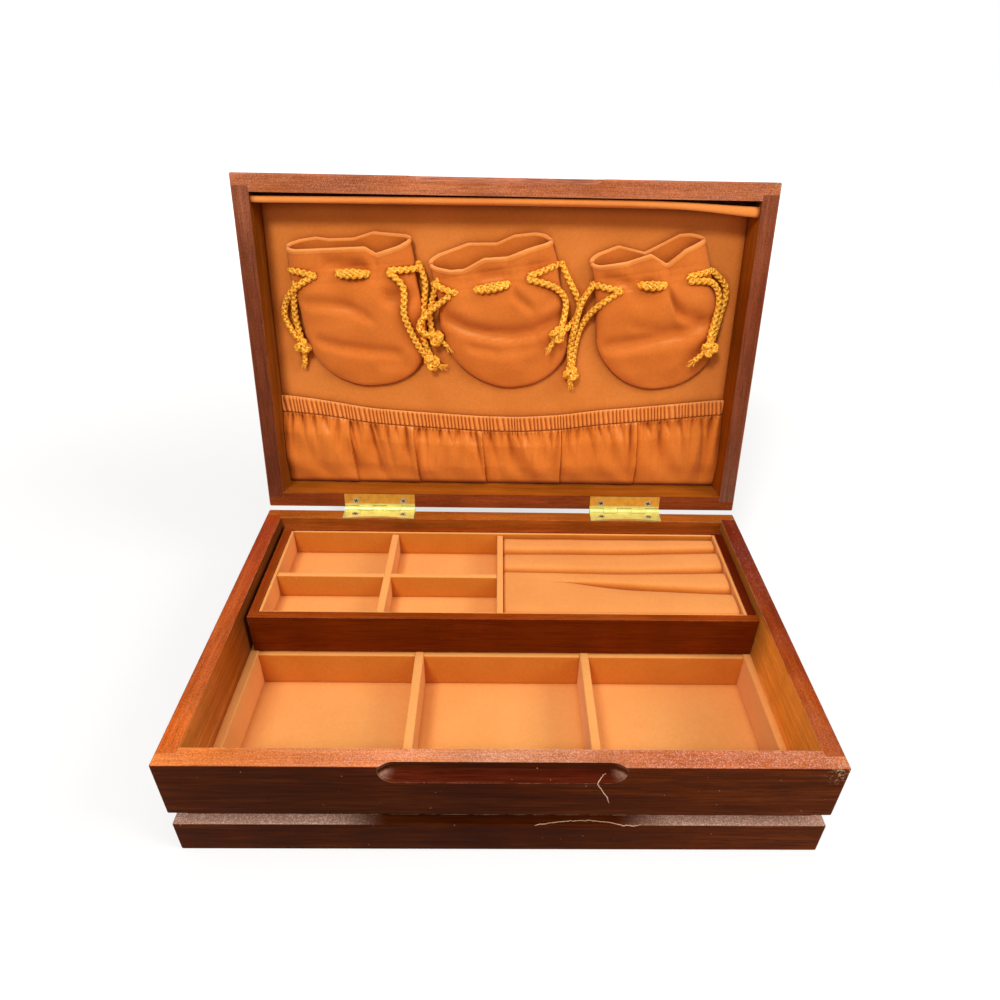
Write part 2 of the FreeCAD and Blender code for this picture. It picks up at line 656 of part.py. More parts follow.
runs = {
    "left": (
        ((-36.5, 69.5, 5.4), (-31.5, 68.6, 8.6), (-24, 67.6, 10.4)),
        ((-11.6, 67, 12.1), (-1.2, 66.1, 12.7), (9.3, 66.8, 12.2)),
        ((-11.6, 69.9, 12.1), (-1.2, 69.2, 12.7), (9.3, 69.9, 12.2)),
        ((19.5, 71.5, 10.6), (28, 71, 9.6), (35, 72, 6)),
    ),
    "middle": (
        ((-42, 63, 5.4), (-37, 61, 8.4), (-31, 58.5, 10.2)),
        ((-19.2, 58.2, 12.1), (-8.6, 60.6, 12.7), (2.4, 64.4, 12.2)),
        ((-20, 61, 12.1), (-9.4, 63.6, 12.7), (1.6, 67.3, 12.2)),
        ((12, 69.2, 10.8), (20.9, 72.2, 9.2), (28.8, 75.6, 6)),
    ),
    "right": (
        ((-37, 63.8, 5.4), (-30, 62.2, 8.6), (-22, 61.2, 10.4)),
        ((-11.3, 62.2, 12.1), (-3.1, 62.5, 12.7), (5, 63.6, 12.2)),
        ((-11.3, 65.2, 12.1), (-3.1, 65.4, 12.7), (5, 66.5, 12.2)),
        ((17, 70.6, 10.4), (24.4, 71.2, 9), (31, 73, 6)),
    ),
}


def route(pouch_name, points):
    centre = pouch_centres[pouch_names.index(pouch_name)]
    return [on_lid(centre + x, pouch_bottom + v, up) for x, v, up in points]


for name, strands in tails.items():
    pouch_name = name.split("_")[0]
    tubes = [cord(route(pouch_name, points), cord_radius) for points in strands]
    emit_lid(name, Part.makeCompound(tubes))
knot_shapes = []
for name, path in knots.items():
    points = route(name.split("_")[0], path)
    ball = Part.makeSphere(knot_radius, points[0])
    knot_shapes.append(ball.fuse(cord(points, cord_radius)))
emit_lid("drawcord_knots", Part.makeCompound(knot_shapes))
run_shapes = []
for pouch_name, paths in runs.items():
    run_shapes += [cord(route(pouch_name, points), cord_radius) for points in paths]
emit_lid("drawcord_casing_runs", Part.makeCompound(run_shapes))
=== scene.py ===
import json
import math
import random

import bmesh
import bpy
import numpy as np
from mathutils import Matrix, Vector, noise
from mathutils.bvhtree import BVHTree


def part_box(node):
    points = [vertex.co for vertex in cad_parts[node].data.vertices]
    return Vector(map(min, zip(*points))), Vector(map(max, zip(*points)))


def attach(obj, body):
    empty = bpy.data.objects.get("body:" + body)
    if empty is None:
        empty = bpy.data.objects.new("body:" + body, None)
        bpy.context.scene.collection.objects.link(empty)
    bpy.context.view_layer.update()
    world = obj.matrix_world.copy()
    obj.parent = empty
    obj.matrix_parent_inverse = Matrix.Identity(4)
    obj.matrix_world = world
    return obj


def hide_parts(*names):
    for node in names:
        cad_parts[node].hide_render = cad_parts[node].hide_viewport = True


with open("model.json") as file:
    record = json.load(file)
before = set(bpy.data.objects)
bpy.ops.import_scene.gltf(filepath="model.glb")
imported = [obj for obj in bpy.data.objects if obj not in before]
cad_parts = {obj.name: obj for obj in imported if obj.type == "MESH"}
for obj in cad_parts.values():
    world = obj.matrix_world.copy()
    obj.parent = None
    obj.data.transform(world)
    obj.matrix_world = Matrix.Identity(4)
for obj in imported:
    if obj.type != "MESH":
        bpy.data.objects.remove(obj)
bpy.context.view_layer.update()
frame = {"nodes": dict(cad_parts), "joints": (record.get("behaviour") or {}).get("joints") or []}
MM = 0.001

# The lid's hinge turns it from closed to the open rest position
hinge = next(joint for joint in frame["joints"] if joint["name"] == "lid_hinge")
hinge_pos = np.array(hinge["pos_m"])
open_angle = math.radians(hinge["range_deg"][0])
open_turn = np.array(Matrix.Rotation(open_angle, 3, "X"))


def opened(points):
    return (np.asarray(points, float) - hinge_pos) @ open_turn.T + hinge_pos


def closed(points):
    return (np.asarray(points, float) - hinge_pos) @ open_turn + hinge_pos


# A lid node's lowest and highest corner as they are with the lid closed
def closed_box(node):
    places = closed([vertex.co for vertex in frame["nodes"][node].data.vertices])
    return places.min(0), places.max(0)


lining_z = closed_box("lid_lining_panel")[0][2]
back_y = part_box("base_back_wall")[1].y


# Points given across, up from the hinge edge and out from the lid lining, in millimetres
def on_lid(points):
    across, along, out = np.asarray(points, float).T * MM
    return opened(np.column_stack([across, back_y - along, lining_z - out]))


# Camera at the photograph's place
camera_data = bpy.data.cameras.new("camera")
camera_data.lens = 26.16979
camera_data.sensor_width = 36.0
camera_data.shift_x = -0.0087487
camera_data.shift_y = 0.0134446
camera_data.clip_start = 0.01
camera = bpy.data.objects.new("camera", camera_data)
camera.location = Vector((-4.20252, -293.00436, 324.48476)) * MM
camera.rotation_euler = [math.radians(angle) for angle in (55.91079, -1.07928, -0.49303)]
bpy.context.scene.collection.objects.link(camera)
bpy.context.scene.camera = camera
bpy.context.scene.view_settings.view_transform = "Standard"


# A material's node tree, built one node at a time
class Shader:
    def __init__(self, name, **constants):
        self.material = bpy.data.materials.new(name)
        self.material.use_nodes = True
        self.tree = self.material.node_tree
        self.surface = self.tree.nodes["Principled BSDF"]
        for key, value in constants.items():
            self.surface.inputs[key.replace("_", " ")].default_value = value

    def feed(self, socket, value):
        if isinstance(value, bpy.types.NodeSocket):
            self.tree.links.new(value, socket)
        else:
            socket.default_value = value

    def node(self, kind, settings=(), inputs=()):
        made = self.tree.nodes.new(kind)
        for key, value in dict(settings).items():
            setattr(made, key, value)
        for key, value in dict(inputs).items():
            self.feed(made.inputs[key], value)
        return made

    # Coordinates in metres in the frame of the closed object
    def place(self, on_lid_part=False, kind="POINT"):
        source = self.node("ShaderNodeTexCoord").outputs["Normal" if kind == "NORMAL" else "Object"]
        if not on_lid_part:
            return source
        inputs = {"Vector": source, "Rotation": (-open_angle, 0, 0)}
        if kind == "POINT":
            inputs["Location"] = tuple(closed([(0, 0, 0)])[0])
        return self.node("ShaderNodeMapping", {"vector_type": kind}, inputs).outputs[0]

    def stretch(self, place, scale):
        return self.node("ShaderNodeMapping", (), {"Vector": place, "Scale": scale}).outputs[0]

    def noise(self, place, scale, detail=2.0, rough=0.5):
        inputs = {"Vector": place, "Scale": scale, "Detail": detail, "Roughness": rough}
        return self.node("ShaderNodeTexNoise", (), inputs).outputs["Fac"]

    def calc(self, operation, *values):
        made = self.node("ShaderNodeMath", {"operation": operation})
        for socket, value in zip(made.inputs, values):
            self.feed(socket, value)
        return made.outputs[0]

    def times(self, first, *others):
        for value in others:
            first = self.calc("MULTIPLY", first, value)
        return first

    # A value taken from one range to another, held at its ends
    def span(self, value, low, high, to_low=0.0, to_high=1.0):
        inputs = {"Value": value, "From Min": low, "From Max": high, "To Min": to_low, "To Max": to_high}
        return self.node("ShaderNodeMapRange", {"interpolation_type": "SMOOTHSTEP"}, inputs).outputs[0]

    def ramp(self, value, stops):
        made = self.node("ShaderNodeValToRGB", (), {"Fac": value})
        ramp = made.color_ramp
        while len(ramp.elements) < len(stops):
            ramp.elements.new(1.0)
        for element, (position, colour) in zip(ramp.elements, stops):
            element.position = position
            element.color = (*colour, 1.0)
        return made.outputs["Color"]

    def mix(self, share, first, second, blend="MIX"):
        made = self.node("ShaderNodeMix", {"data_type": "RGBA", "blend_type": blend})
        for socket, value in zip((made.inputs[0], made.inputs[6], made.inputs[7]), (share, first, second)):
            self.feed(socket, (*value, 1.0) if isinstance(value, tuple) else value)
        return made.outputs[2]

    def split(self, vector):
        return self.node("ShaderNodeSeparateXYZ", (), {"Vector": vector}).outputs

    def dot(self, first, second):
        made = self.node("ShaderNodeVectorMath", {"operation": "DOT_PRODUCT"})
        self.feed(made.inputs[0], first)
        self.feed(made.inputs[1], second)
        return made.outputs["Value"]

    # How near a sharp edge a point is, from 0 to 1
    def edges(self, radius):
        soft = self.node("ShaderNodeBevel", {"samples": 6}, {"Radius": radius}).outputs[0]
        true = self.node("ShaderNodeNewGeometry").outputs["Normal"]
        return self.span(self.dot(soft, true), 0.995, 0.9)

    # How open a point is to its near surroundings, from 0 in a deep fold to 1 on a plain face
    def openness(self, distance):
        return self.node("ShaderNodeAmbientOcclusion", {"samples": 8}, {"Distance": distance}).outputs["AO"]

    # How near a point is to a spot, 1 at the spot and 0 beyond the radius
    def near(self, place, spot, radius):
        made = self.node("ShaderNodeVectorMath", {"operation": "DISTANCE"}, {0: place, 1: spot})
        return self.span(made.outputs["Value"], radius, 0.0)

    def relief(self, height, strength, distance):
        inputs = {"Height": height, "Strength": strength, "Distance": distance}
        bump = self.node("ShaderNodeBump", (), inputs)
        if self.surface.inputs["Normal"].is_linked:
            self.feed(bump.inputs["Normal"], self.surface.inputs["Normal"].links[0].from_socket)
        self.feed(self.surface.inputs["Normal"], bump.outputs[0])

    def paint(self, colour, roughness):
        self.feed(self.surface.inputs["Base Color"], colour)
        self.feed(self.surface.inputs["Roughness"], roughness)
        return self.material


# Satin mahogany with its grain along one axis, and lit and shaded copies of its tones outside, on the rim,
# inside and in the scoop: painted light and shade by which way each face turns
def mahogany(
    name, grain_axis, tones, on_lid_part=False, wear=1.0, glint_weights=(0.0, 0.0), fade=(), chips=(), end_highlights=(),
    rim_z=None,
):
    shader = Shader(name, Specular_IOR_Level=0.015)
    place = shader.place(on_lid_part)

    def along(slow, fast):
        return tuple(slow if axis == grain_axis else fast for axis in "XYZ")

    figure = shader.noise(shader.stretch(place, along(12, 220)), 1.0, 6.0, 0.68)
    streak = shader.noise(shader.stretch(place, along(45, 1100)), 1.0, 3.0, 0.6)
    pores = shader.noise(shader.stretch(place, along(160, 2600)), 1.0, 1.0, 0.4)
    ribbon = shader.noise(shader.stretch(place, along(30, 18)), 1.0, 2.0)
    glint_grain = shader.span(shader.noise(place, 1700.0, 2.0, 0.75), 0.48, 0.64)
    glint_patches = shader.span(shader.noise(place, 20.0, 2.0), 0.34, 0.52)
    shares = (0.2, 0.5, 0.78)
    facing = shader.split(shader.place(on_lid_part, "NORMAL"))
    spot = shader.split(place)
    along_grain = shader.calc("MULTIPLY_ADD", spot["XYZ".index(grain_axis)], 1 / 0.3, 0.5)
    finishes = []
    for part, tints in zip(("outside", "rim", "inside", "scoop"), tones):
        finish = shader.ramp(figure, list(zip(shares, tints)))
        if part in fade:
            finish = shader.mix(1.0, finish, shader.ramp(along_grain, fade[part]), "MULTIPLY")
        finishes.append(finish)
    outside, rim, inside, scoop = finishes
    # Outward faces and level faces off the rim take the outside tones, other faces the inside tones, and
    # level faces at the rim the rim tones: painted light and shade by facing
    outward_x = shader.times(facing[0], spot[0])
    outward_y = shader.times(facing[1], spot[1])
    outward = shader.span(shader.calc("ADD", outward_x, outward_y), -0.01, 0.01)
    upright = shader.calc("ABSOLUTE", facing[2])
    level = shader.span(upright, 0.6, 0.95)
    from_rim = shader.calc("ABSOLUTE", shader.calc("SUBTRACT", spot[2], rim_z or rim_level))
    on_rim = shader.times(level, shader.span(from_rim, 1.5 * MM, 0.8 * MM))
    off_rim = shader.calc("SUBTRACT", level, on_rim)
    colour = shader.mix(shader.calc("MAXIMUM", outward, off_rim), inside, outside)
    # Tilted outward faces near the rim take the scoop tones: painted light and shade in the scoop
    tilted = shader.times(shader.span(upright, 0.06, 0.25), shader.span(from_rim, 14 * MM, 12 * MM))
    scooped = shader.times(outward, tilted)
    colour = shader.mix(scooped, colour, scoop)
    # Painted highlights at the scoop's ends, where they catch the light
    for end, radius in end_highlights:
        end_highlight = shader.times(shader.near(place, end, radius), shader.times(scooped, 0.35))
        colour = shader.mix(end_highlight, colour, painted_glare_colour)
    # Blotchy rim grain with painted glare spots
    specks = shader.noise(place, 1500.0, 3.0, 0.7)
    grain_and_glare_mottle = shader.ramp(specks, [(0.36, (0.66, 0.55, 0.44)), (0.64, (1.24, 1.32, 1.45))])
    rim = shader.mix(0.8, rim, grain_and_glare_mottle, "MULTIPLY")
    colour = shader.mix(on_rim, colour, rim)
    tint = shader.ramp(streak, [(0.3, (0.6, 0.53, 0.48)), (0.7, (1.3, 1.28, 1.25))])
    calm = shader.calc("MAXIMUM", on_rim, shader.calc("SUBTRACT", 1.0, outward))
    lively = shader.calc("MULTIPLY_ADD", calm, -0.6, 1.0)
    colour = shader.mix(lively, colour, tint, "MULTIPLY")
    sheen = shader.ramp(ribbon, [(0.3, (0.84, 0.82, 0.8)), (0.7, (1.14, 1.12, 1.1))])
    colour = shader.mix(1.0, colour, sheen, "MULTIPLY")
    open_pores = shader.times(shader.span(pores, 0.6, 0.7), 0.65)
    colour = shader.mix(shader.times(open_pores, lively), colour, pore_colour)
    # Painted glints scattered over the rim, in patches, weighted across the wall
    glints = shader.times(glint_grain, on_rim)
    glints = shader.times(glints, shader.span(spot[0], -0.11, -0.03, *glint_weights))
    colour = shader.mix(shader.times(glints, glint_patches), colour, glint_colour)
    # Painted glare on the plinth step towards its ends, a pale reflection laid on the wood
    painted_glare = shader.times(shader.span(facing[2], 0.6, 0.95), shader.span(spot[2], 30 * MM, 24 * MM))
    painted_glare = shader.times(painted_glare, shader.span(shader.calc("ABSOLUTE", spot[0]), 52 * MM, 84 * MM))
    painted_glare = shader.times(painted_glare, shader.calc("MULTIPLY_ADD", glint_grain, 0.6, 0.4))
    colour = shader.mix(painted_glare, colour, painted_glare_colour)
    nicks = shader.span(shader.noise(place, 640.0, 1.0), 0.79, 0.83)
    nicks = shader.times(nicks, 0.6)
    scuffs = shader.span(shader.noise(place, 160.0, 4.0, 0.7), 0.36, 0.66)
    rub = 0.2 if on_lid_part else 0.6
    rubbed = shader.times(shader.edges(0.5 * MM), shader.times(scuffs, rub))
    worn = shader.calc("MAXIMUM", nicks, rubbed)
    flecks = shader.span(shader.noise(place, 700.0, 3.0, 0.7), 0.5, 0.66, 0.0, 0.8)
    for corner, radius in chips:
        worn = shader.calc("MAXIMUM", worn, shader.times(shader.near(place, corner, radius), flecks))
    colour = shader.mix(shader.times(worn, wear), colour, bare_wood)
    roughness = shader.span(streak, 0.3, 0.75, 0.36, 0.55)
    shader.relief(pores, 0.25, 0.2 * MM)
    shader.relief(streak, 0.12, 0.15 * MM)
    return shader.paint(colour, roughness)


# Where cloth takes lit tones, painted light: boards on all but their front and back faces, pouches on their
# upper edges
def beside_and_above(shader, facing):
    return shader.span(shader.calc("ABSOLUTE", facing[1]), 0.9, 0.3)


def towards_lid_front(shader, facing):
    return shader.span(facing[1], -0.35, -0.9)


# Napped cloth with its fibres and worn patches, lit tones painted where it faces the light and painted shade
# in its folds
def napped_cloth(name, tones, lit_tones, lit_where, fold_shade, nap=1.0, sheen=0.2, weave=0.0, on_lid_part=False):
    shader = Shader(name, Specular_IOR_Level=0.1, Sheen_Weight=sheen, Sheen_Roughness=0.45)
    shader.surface.inputs["Sheen Tint"].default_value = (1.0, 0.72, 0.5, 1.0)
    place = shader.place(on_lid_part)
    fibres = shader.noise(place, 2600.0, 3.0, 0.7)
    tufts = shader.noise(place, 520.0, 4.0, 0.65)
    patches = shader.noise(place, 30.0, 3.0, 0.55)
    tone = shader.calc("ADD", shader.times(fibres, 0.4), shader.times(tufts, 0.25))
    tone = shader.calc("ADD", tone, shader.times(patches, 0.35))
    share = shader.span(tone, 0.34, 0.66)
    facing = shader.split(shader.place(on_lid_part, "NORMAL"))
    colour = shader.mix(lit_where(shader, facing), shader.mix(share, *tones), shader.mix(share, *lit_tones))
    dust = shader.span(shader.noise(place, 1700.0, 0.0), 0.81, 0.86)
    colour = shader.mix(shader.times(dust, 0.4), colour, (0.9, 0.6, 0.36))
    # Painted shade in the cloth's folds and closed-in places, from how open each point is
    reach, shade_colour = fold_shade
    shade = shader.ramp(shader.openness(reach), [(0.4, shade_colour), (0.96, (1.0, 1.0, 1.0))])
    colour = shader.mix(1.0, colour, shade, "MULTIPLY")
    shader.relief(fibres, 0.3 * nap, 0.25 * MM)
    shader.relief(tufts, 0.2 * nap, 0.3 * MM)
    if weave:
        spot = shader.split(place)
        threads = [
            shader.calc("SINE", shader.times(spot[axis], 2 * math.pi / weave)) for axis in (0, 1)
        ]
        shader.relief(shader.times(*threads), 0.2, 0.2 * MM)
    return shader.paint(colour, shader.span(tufts, 0.3, 0.7, 0.8, 0.95))


# Lacquered brass with thin tarnish, aged away from the hinge pin where a colour is given for it
def brass(name, colour, tarnish, roughness, aged=None):
    shader = Shader(name, Metallic=0.45)
    place = shader.place()
    cloud = shader.noise(place, 260.0, 4.0, 0.6)
    brushed = shader.noise(shader.stretch(place, (200, 4000, 4000)), 1.0, 2.0)
    tint = shader.mix(shader.span(cloud, 0.35, 0.75), colour, tarnish)
    if aged:
        to_pin = shader.near(shader.stretch(place, (0, 1, 1)), (0, *hinge_pos[1:]), 5 * MM)
        plate = shader.mix(shader.span(cloud, 0.35, 0.75), *aged)
        tint = shader.mix(shader.span(to_pin, 0.1, 0.3), plate, tint)
    shader.relief(brushed, 0.08, 0.05 * MM)
    return shader.paint(tint, shader.span(cloud, 0.3, 0.7, roughness, roughness + 0.1))


# Glossy gold yarn, with painted shade between its strands
def gold_yarn(name):
    shader = Shader(name, Specular_IOR_Level=0.35, Metallic=0.1)
    place = shader.place()
    yarn = shader.noise(place, 1500.0, 2.0, 0.6)
    fade = shader.noise(place, 120.0, 2.0)
    yarn_tones = [(0.3, (0.84, 0.28, 0.01)), (0.5, (1.0, 0.46, 0.025)), (0.66, (1.0, 0.72, 0.14))]
    colour = shader.ramp(yarn, yarn_tones)
    tint = shader.ramp(fade, [(0.3, (0.86, 0.8, 0.7)), (0.7, (1.1, 1.08, 1.0))])
    colour = shader.mix(1.0, colour, tint, "MULTIPLY")
    # Painted shade between the strands
    shade = shader.ramp(shader.openness(1.2 * MM), [(0.1, (0.45, 0.22, 0.06)), (0.5, (1.0, 1.0, 1.0))])
    colour = shader.mix(1.0, colour, shade, "MULTIPLY")
    shader.relief(yarn, 0.5, 0.25 * MM)
    return shader.paint(colour, shader.span(yarn, 0.3, 0.7, 0.42, 0.3))


# Tones of the wood, each dark, middle and light; the outside, rim, inside and scoop tones are shaded and lit
# copies, painted light and shade
rim_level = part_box("base_back_wall")[1].z
tray_rim_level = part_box("tray_front_wall")[1].z
outside_tones = ((0.026, 0.0046, 0.0007), (0.055, 0.0105, 0.0015), (0.1, 0.022, 0.004))
front_rim_tones = ((0.58, 0.14, 0.022), (0.78, 0.23, 0.05), (0.9, 0.34, 0.13))
side_rim_tones = ((0.26, 0.028, 0.003), (0.41, 0.06, 0.008), (0.56, 0.11, 0.022))
back_rim_tones = ((0.3, 0.065, 0.007), (0.42, 0.11, 0.013), (0.52, 0.16, 0.028))
inside_tones = ((0.2, 0.042, 0.004), (0.34, 0.08, 0.008), (0.46, 0.12, 0.02))
# The right wall's inside tones are a brighter copy, painted light on that wall's inner face
right_inside_tones = ((0.72, 0.24, 0.025), (0.9, 0.34, 0.045), (0.98, 0.42, 0.08))
scoop_tones = ((0.04, 0.005, 0.001), (0.085, 0.011, 0.003), (0.14, 0.026, 0.008))
lid_front_rim_tones = ((0.38, 0.09, 0.02), (0.52, 0.145, 0.04), (0.64, 0.22, 0.09))
lid_side_rim_tones = ((0.12, 0.025, 0.009), (0.2, 0.05, 0.02), (0.28, 0.085, 0.038))
lid_back_rim_tones = ((0.14, 0.017, 0.0006), (0.22, 0.033, 0.0012), (0.3, 0.056, 0.004))
lid_inside_tones = ((0.22, 0.055, 0.004), (0.36, 0.1, 0.008), (0.48, 0.15, 0.016))
lid_scoop_tones = ((0.34, 0.1, 0.05), (0.46, 0.16, 0.09), (0.58, 0.24, 0.15))
tray_outside_tones = ((0.115, 0.0155, 0.001), (0.145, 0.0215, 0.0013), (0.175, 0.029, 0.002))
tray_rim_tones = ((0.2, 0.026, 0.002), (0.3, 0.052, 0.005), (0.4, 0.09, 0.012))
plywood_tones = ((0.2, 0.1, 0.045), (0.32, 0.17, 0.08), (0.42, 0.25, 0.13))
bare_wood = (0.62, 0.4, 0.24)
pore_colour = (0.03, 0.008, 0.003)
glint_colour = (0.86, 0.52, 0.46)
painted_glare_colour = (0.74, 0.45, 0.34)
base_corner = ((0.147, -0.0975, 0.0595), 11 * MM)
scoop_end_highlights = [((side * 0.0515, -0.0965, 0.0565), 6 * MM) for side in (-1, 1)]
lid_corner = ((0.15, -0.0975, 0.062), 7 * MM)


def base_tones(rim, inside=inside_tones):
    return outside_tones, rim, inside, scoop_tones


def lid_tones(rim):
    return outside_tones, rim, lid_inside_tones, lid_scoop_tones


tray_tones = (tray_outside_tones, tray_rim_tones, tray_outside_tones, tray_outside_tones)
plain = (1.0, 1.0, 1.0)
# Multipliers along each wall's grain: painted light, shade and reflection where they fall along the wall
front_fade = {
    "outside": [
        (0, (1.25, 1.3, 1.5)), (0.3, plain), (0.5, (0.9, 0.8, 0.7)), (0.72, (1.5, 1.5, 1.4)),
        (1, (2.1, 2.2, 2.2)),
    ],
    "rim": [
        (0, (1.05, 1.03, 0.9)), (0.3, (0.9, 0.96, 1.35)), (0.5, (0.78, 1.08, 2.2)),
        (0.74, (0.62, 0.52, 0.55)), (1, (0.69, 0.62, 0.75)),
    ],
}
left_fade = {
    "rim": [(0.2, (1.45, 1.95, 2.0)), (0.45, (1.1, 1.5, 1.7)), (0.68, (0.88, 0.8, 0.7))],
    "inside": [
        (0.22, (2.1, 3.1, 5.5)), (0.34, (1.7, 2.1, 3.4)), (0.42, (1.2, 1.3, 1.3)), (0.5, (0.6, 0.7, 1.1)),
    ],
}
right_fade = {
    "rim": [(0.2, (1.0, 1.35, 1.7)), (0.43, (0.72, 0.75, 0.6)), (0.68, (0.45, 0.32, 0.2))],
    "inside": [(0.44, plain), (0.52, (0.4, 0.42, 0.5))],
}
lid_left_fade = {
    "rim": [
        (0.22, (1.45, 1.7, 2.0)), (0.4, (0.8, 0.72, 0.75)), (0.6, (0.46, 0.3, 0.2)),
        (0.8, (0.58, 0.42, 0.45)),
    ],
    "inside": [(0.2, (0.62, 0.6, 0.6)), (0.8, (0.78, 0.85, 1.2))],
}
lid_right_fade = {
    "rim": [
        (0.22, (1.4, 1.5, 1.7)), (0.4, (1.05, 0.85, 0.7)), (0.65, (0.96, 1.05, 1.2)),
        (0.8, (0.76, 1.25, 2.0)),
    ],
    "inside": [(0.25, plain), (0.4, (0.75, 0.6, 0.3)), (0.8, (0.88, 0.75, 0.4))],
}
dim = (0.46, 0.27, 0.25)
dim_fade = {"rim": [(0, dim), (1, dim)]}
woods = {
    "base_front_wall": mahogany(
        "base_front_wood", "X", base_tones(front_rim_tones), glint_weights=(0.12, 0.5), fade=front_fade,
        chips=[base_corner], end_highlights=scoop_end_highlights,
    ),
    "base_left_wall": mahogany(
        "base_left_wood", "Y", base_tones(side_rim_tones), glint_weights=(0.06, 0.06), fade=left_fade
    ),
    "base_right_wall": mahogany(
        "base_right_wood", "Y", base_tones(side_rim_tones, right_inside_tones), glint_weights=(0.0, 0.12),
        fade=right_fade,
    ),
    "base_back_wall": mahogany("base_back_wood", "X", base_tones(back_rim_tones)),
    "lid_front_wall": mahogany(
        "lid_front_wood", "X", lid_tones(lid_front_rim_tones), True, glint_weights=(0.3, 0.3), chips=[lid_corner]
    ),
    "lid_left_wall": mahogany(
        "lid_left_wood", "Y", lid_tones(lid_side_rim_tones), True, 0.8, fade=lid_left_fade
    ),
    "lid_right_wall": mahogany(
        "lid_right_wood", "Y", lid_tones(lid_side_rim_tones), True, 0.8, fade=lid_right_fade
    ),
    "lid_back_wall": mahogany("lid_back_wood", "X", lid_tones(lid_back_rim_tones), True, 0.8),
    "tray_front_wall": mahogany("tray_wood_across", "X", tray_tones, wear=0.4, rim_z=tray_rim_level),
    "tray_left_wall": mahogany("tray_wood_along", "Y", tray_tones, wear=0.4, rim_z=tray_rim_level),
    "tray_right_wall": mahogany(
        "tray_wood_right", "Y", tray_tones, wear=0.4, rim_z=tray_rim_level, fade=dim_fade
    ),
    "base_bottom_panel": mahogany("panel_wood", "X", (plywood_tones,) * 4, wear=0.3),
}
woods["lid_top_panel"] = woods["lid_front_wall"]
woods["tray_back_wall"] = woods["tray_front_wall"]
woods["tray_bottom_panel"] = woods["base_bottom_panel"]


# Cloth in the lid, with painted light where it faces the lid's front
def lid_cloth(name, tones, lit_tones, fold_shade, nap=1.0, sheen=0.2, weave=0.0):
    return napped_cloth(name, tones, lit_tones, towards_lid_front, fold_shade, nap, sheen, weave, True)


# Lit tones for pouch, pocket and hem cloth, painted light on their upper edges
lit_edge_tones = ((0.9, 0.36, 0.11), (0.98, 0.44, 0.16))
board_cloth = napped_cloth(
    "board_cloth", ((0.55, 0.16, 0.013), (0.67, 0.22, 0.026)), ((0.83, 0.345, 0.09), (0.92, 0.415, 0.126)),
    beside_and_above, (3 * MM, (0.88, 0.78, 0.64)),
)
roll_cloth = napped_cloth(
    "roll_cloth", ((0.6, 0.17, 0.02), (0.72, 0.23, 0.035)), ((0.75, 0.28, 0.07), (0.84, 0.34, 0.098)),
    beside_and_above, (4 * MM, (0.8, 0.66, 0.5)),
)
panel_cloth = lid_cloth(
    "panel_cloth", ((0.66, 0.19, 0.028), (0.82, 0.26, 0.05)), ((0.78, 0.25, 0.05), (0.9, 0.32, 0.08)),
    (5 * MM, (0.55, 0.42, 0.3)), 0.6, 0.15, 0.7 * MM,
)
pouch_cloth = lid_cloth(
    "pouch_cloth", ((0.65, 0.157, 0.018), (0.78, 0.213, 0.035)), lit_edge_tones, (9 * MM, (0.45, 0.3, 0.14))
)
pocket_cloth = lid_cloth(
    "pocket_cloth", ((0.66, 0.166, 0.018), (0.79, 0.225, 0.034)), lit_edge_tones, (5 * MM, (0.46, 0.3, 0.12))
)
# Paler cloth for the pocket's hem; on the pouches' rim beads it is a painted highlight
hem_and_bead_highlight_cloth = lid_cloth(
    "hem_and_bead_highlight_cloth", ((0.84, 0.265, 0.043), (0.97, 0.345, 0.082)), lit_edge_tones, (3 * MM, (0.58, 0.4, 0.2))
)
strip_cloth = lid_cloth(
    "strip_cloth", ((0.86, 0.25, 0.045), (0.97, 0.33, 0.075)), ((0.86, 0.3, 0.07), (0.95, 0.38, 0.11)),
    (5 * MM, (0.5, 0.42, 0.34)), 0.6, 0.15,
)
bright_brass = ((0.78, 0.74, 0.24), (0.68, 0.6, 0.16))
hinge_brass = brass("hinge_brass", *bright_brass, 0.36)
aged_brass = brass("aged_brass", *bright_brass, 0.36, ((0.76, 0.38, 0.045), (0.58, 0.25, 0.025)))
screw_metal = brass("screw_metal", (0.62, 0.5, 0.3), (0.4, 0.3, 0.15), 0.35)
gold = gold_yarn("gold_yarn")
slot_shade = Shader("slot_shade", Roughness=0.8, Specular_IOR_Level=0.1).paint((0.03, 0.015, 0.006, 1.0), 0.8)
split_wood = Shader("split_wood", Roughness=0.8, Specular_IOR_Level=0.1).paint((0.8, 0.52, 0.35, 1.0), 0.8)


# Gives a CAD node its material
def dress(node, material):
    materials = frame["nodes"][node].data.materials
    materials.clear()
    materials.append(material)


for node, material in woods.items():
    dress(node, material)
for side in ("left", "right"):
    for piece in ("base_leaf", "lid_leaf", "pin"):
        dress(side + "_hinge_" + piece, aged_brass if piece == "lid_leaf" else hinge_brass)
for node in ("hinge_base_screws", "hinge_lid_screws"):
    dress(node, screw_metal)


# Adds a mesh piece that rides on a body and stands for CAD nodes
def add_piece(name, points, faces, body, material, nodes=()):
    mesh = bpy.data.meshes.new(name)
    mesh.from_pydata([tuple(point) for point in points], [], faces)
    work = bmesh.new()
    work.from_mesh(mesh)
    bmesh.ops.recalc_face_normals(work, faces=work.faces)
    work.to_mesh(mesh)
    work.free()
    mesh.shade_smooth()
    mesh.materials.append(material)
    piece = bpy.data.objects.new(name, mesh)
    bpy.context.scene.collection.objects.link(piece)
    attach(piece, body)
    if nodes:
        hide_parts(*nodes)
    return piece


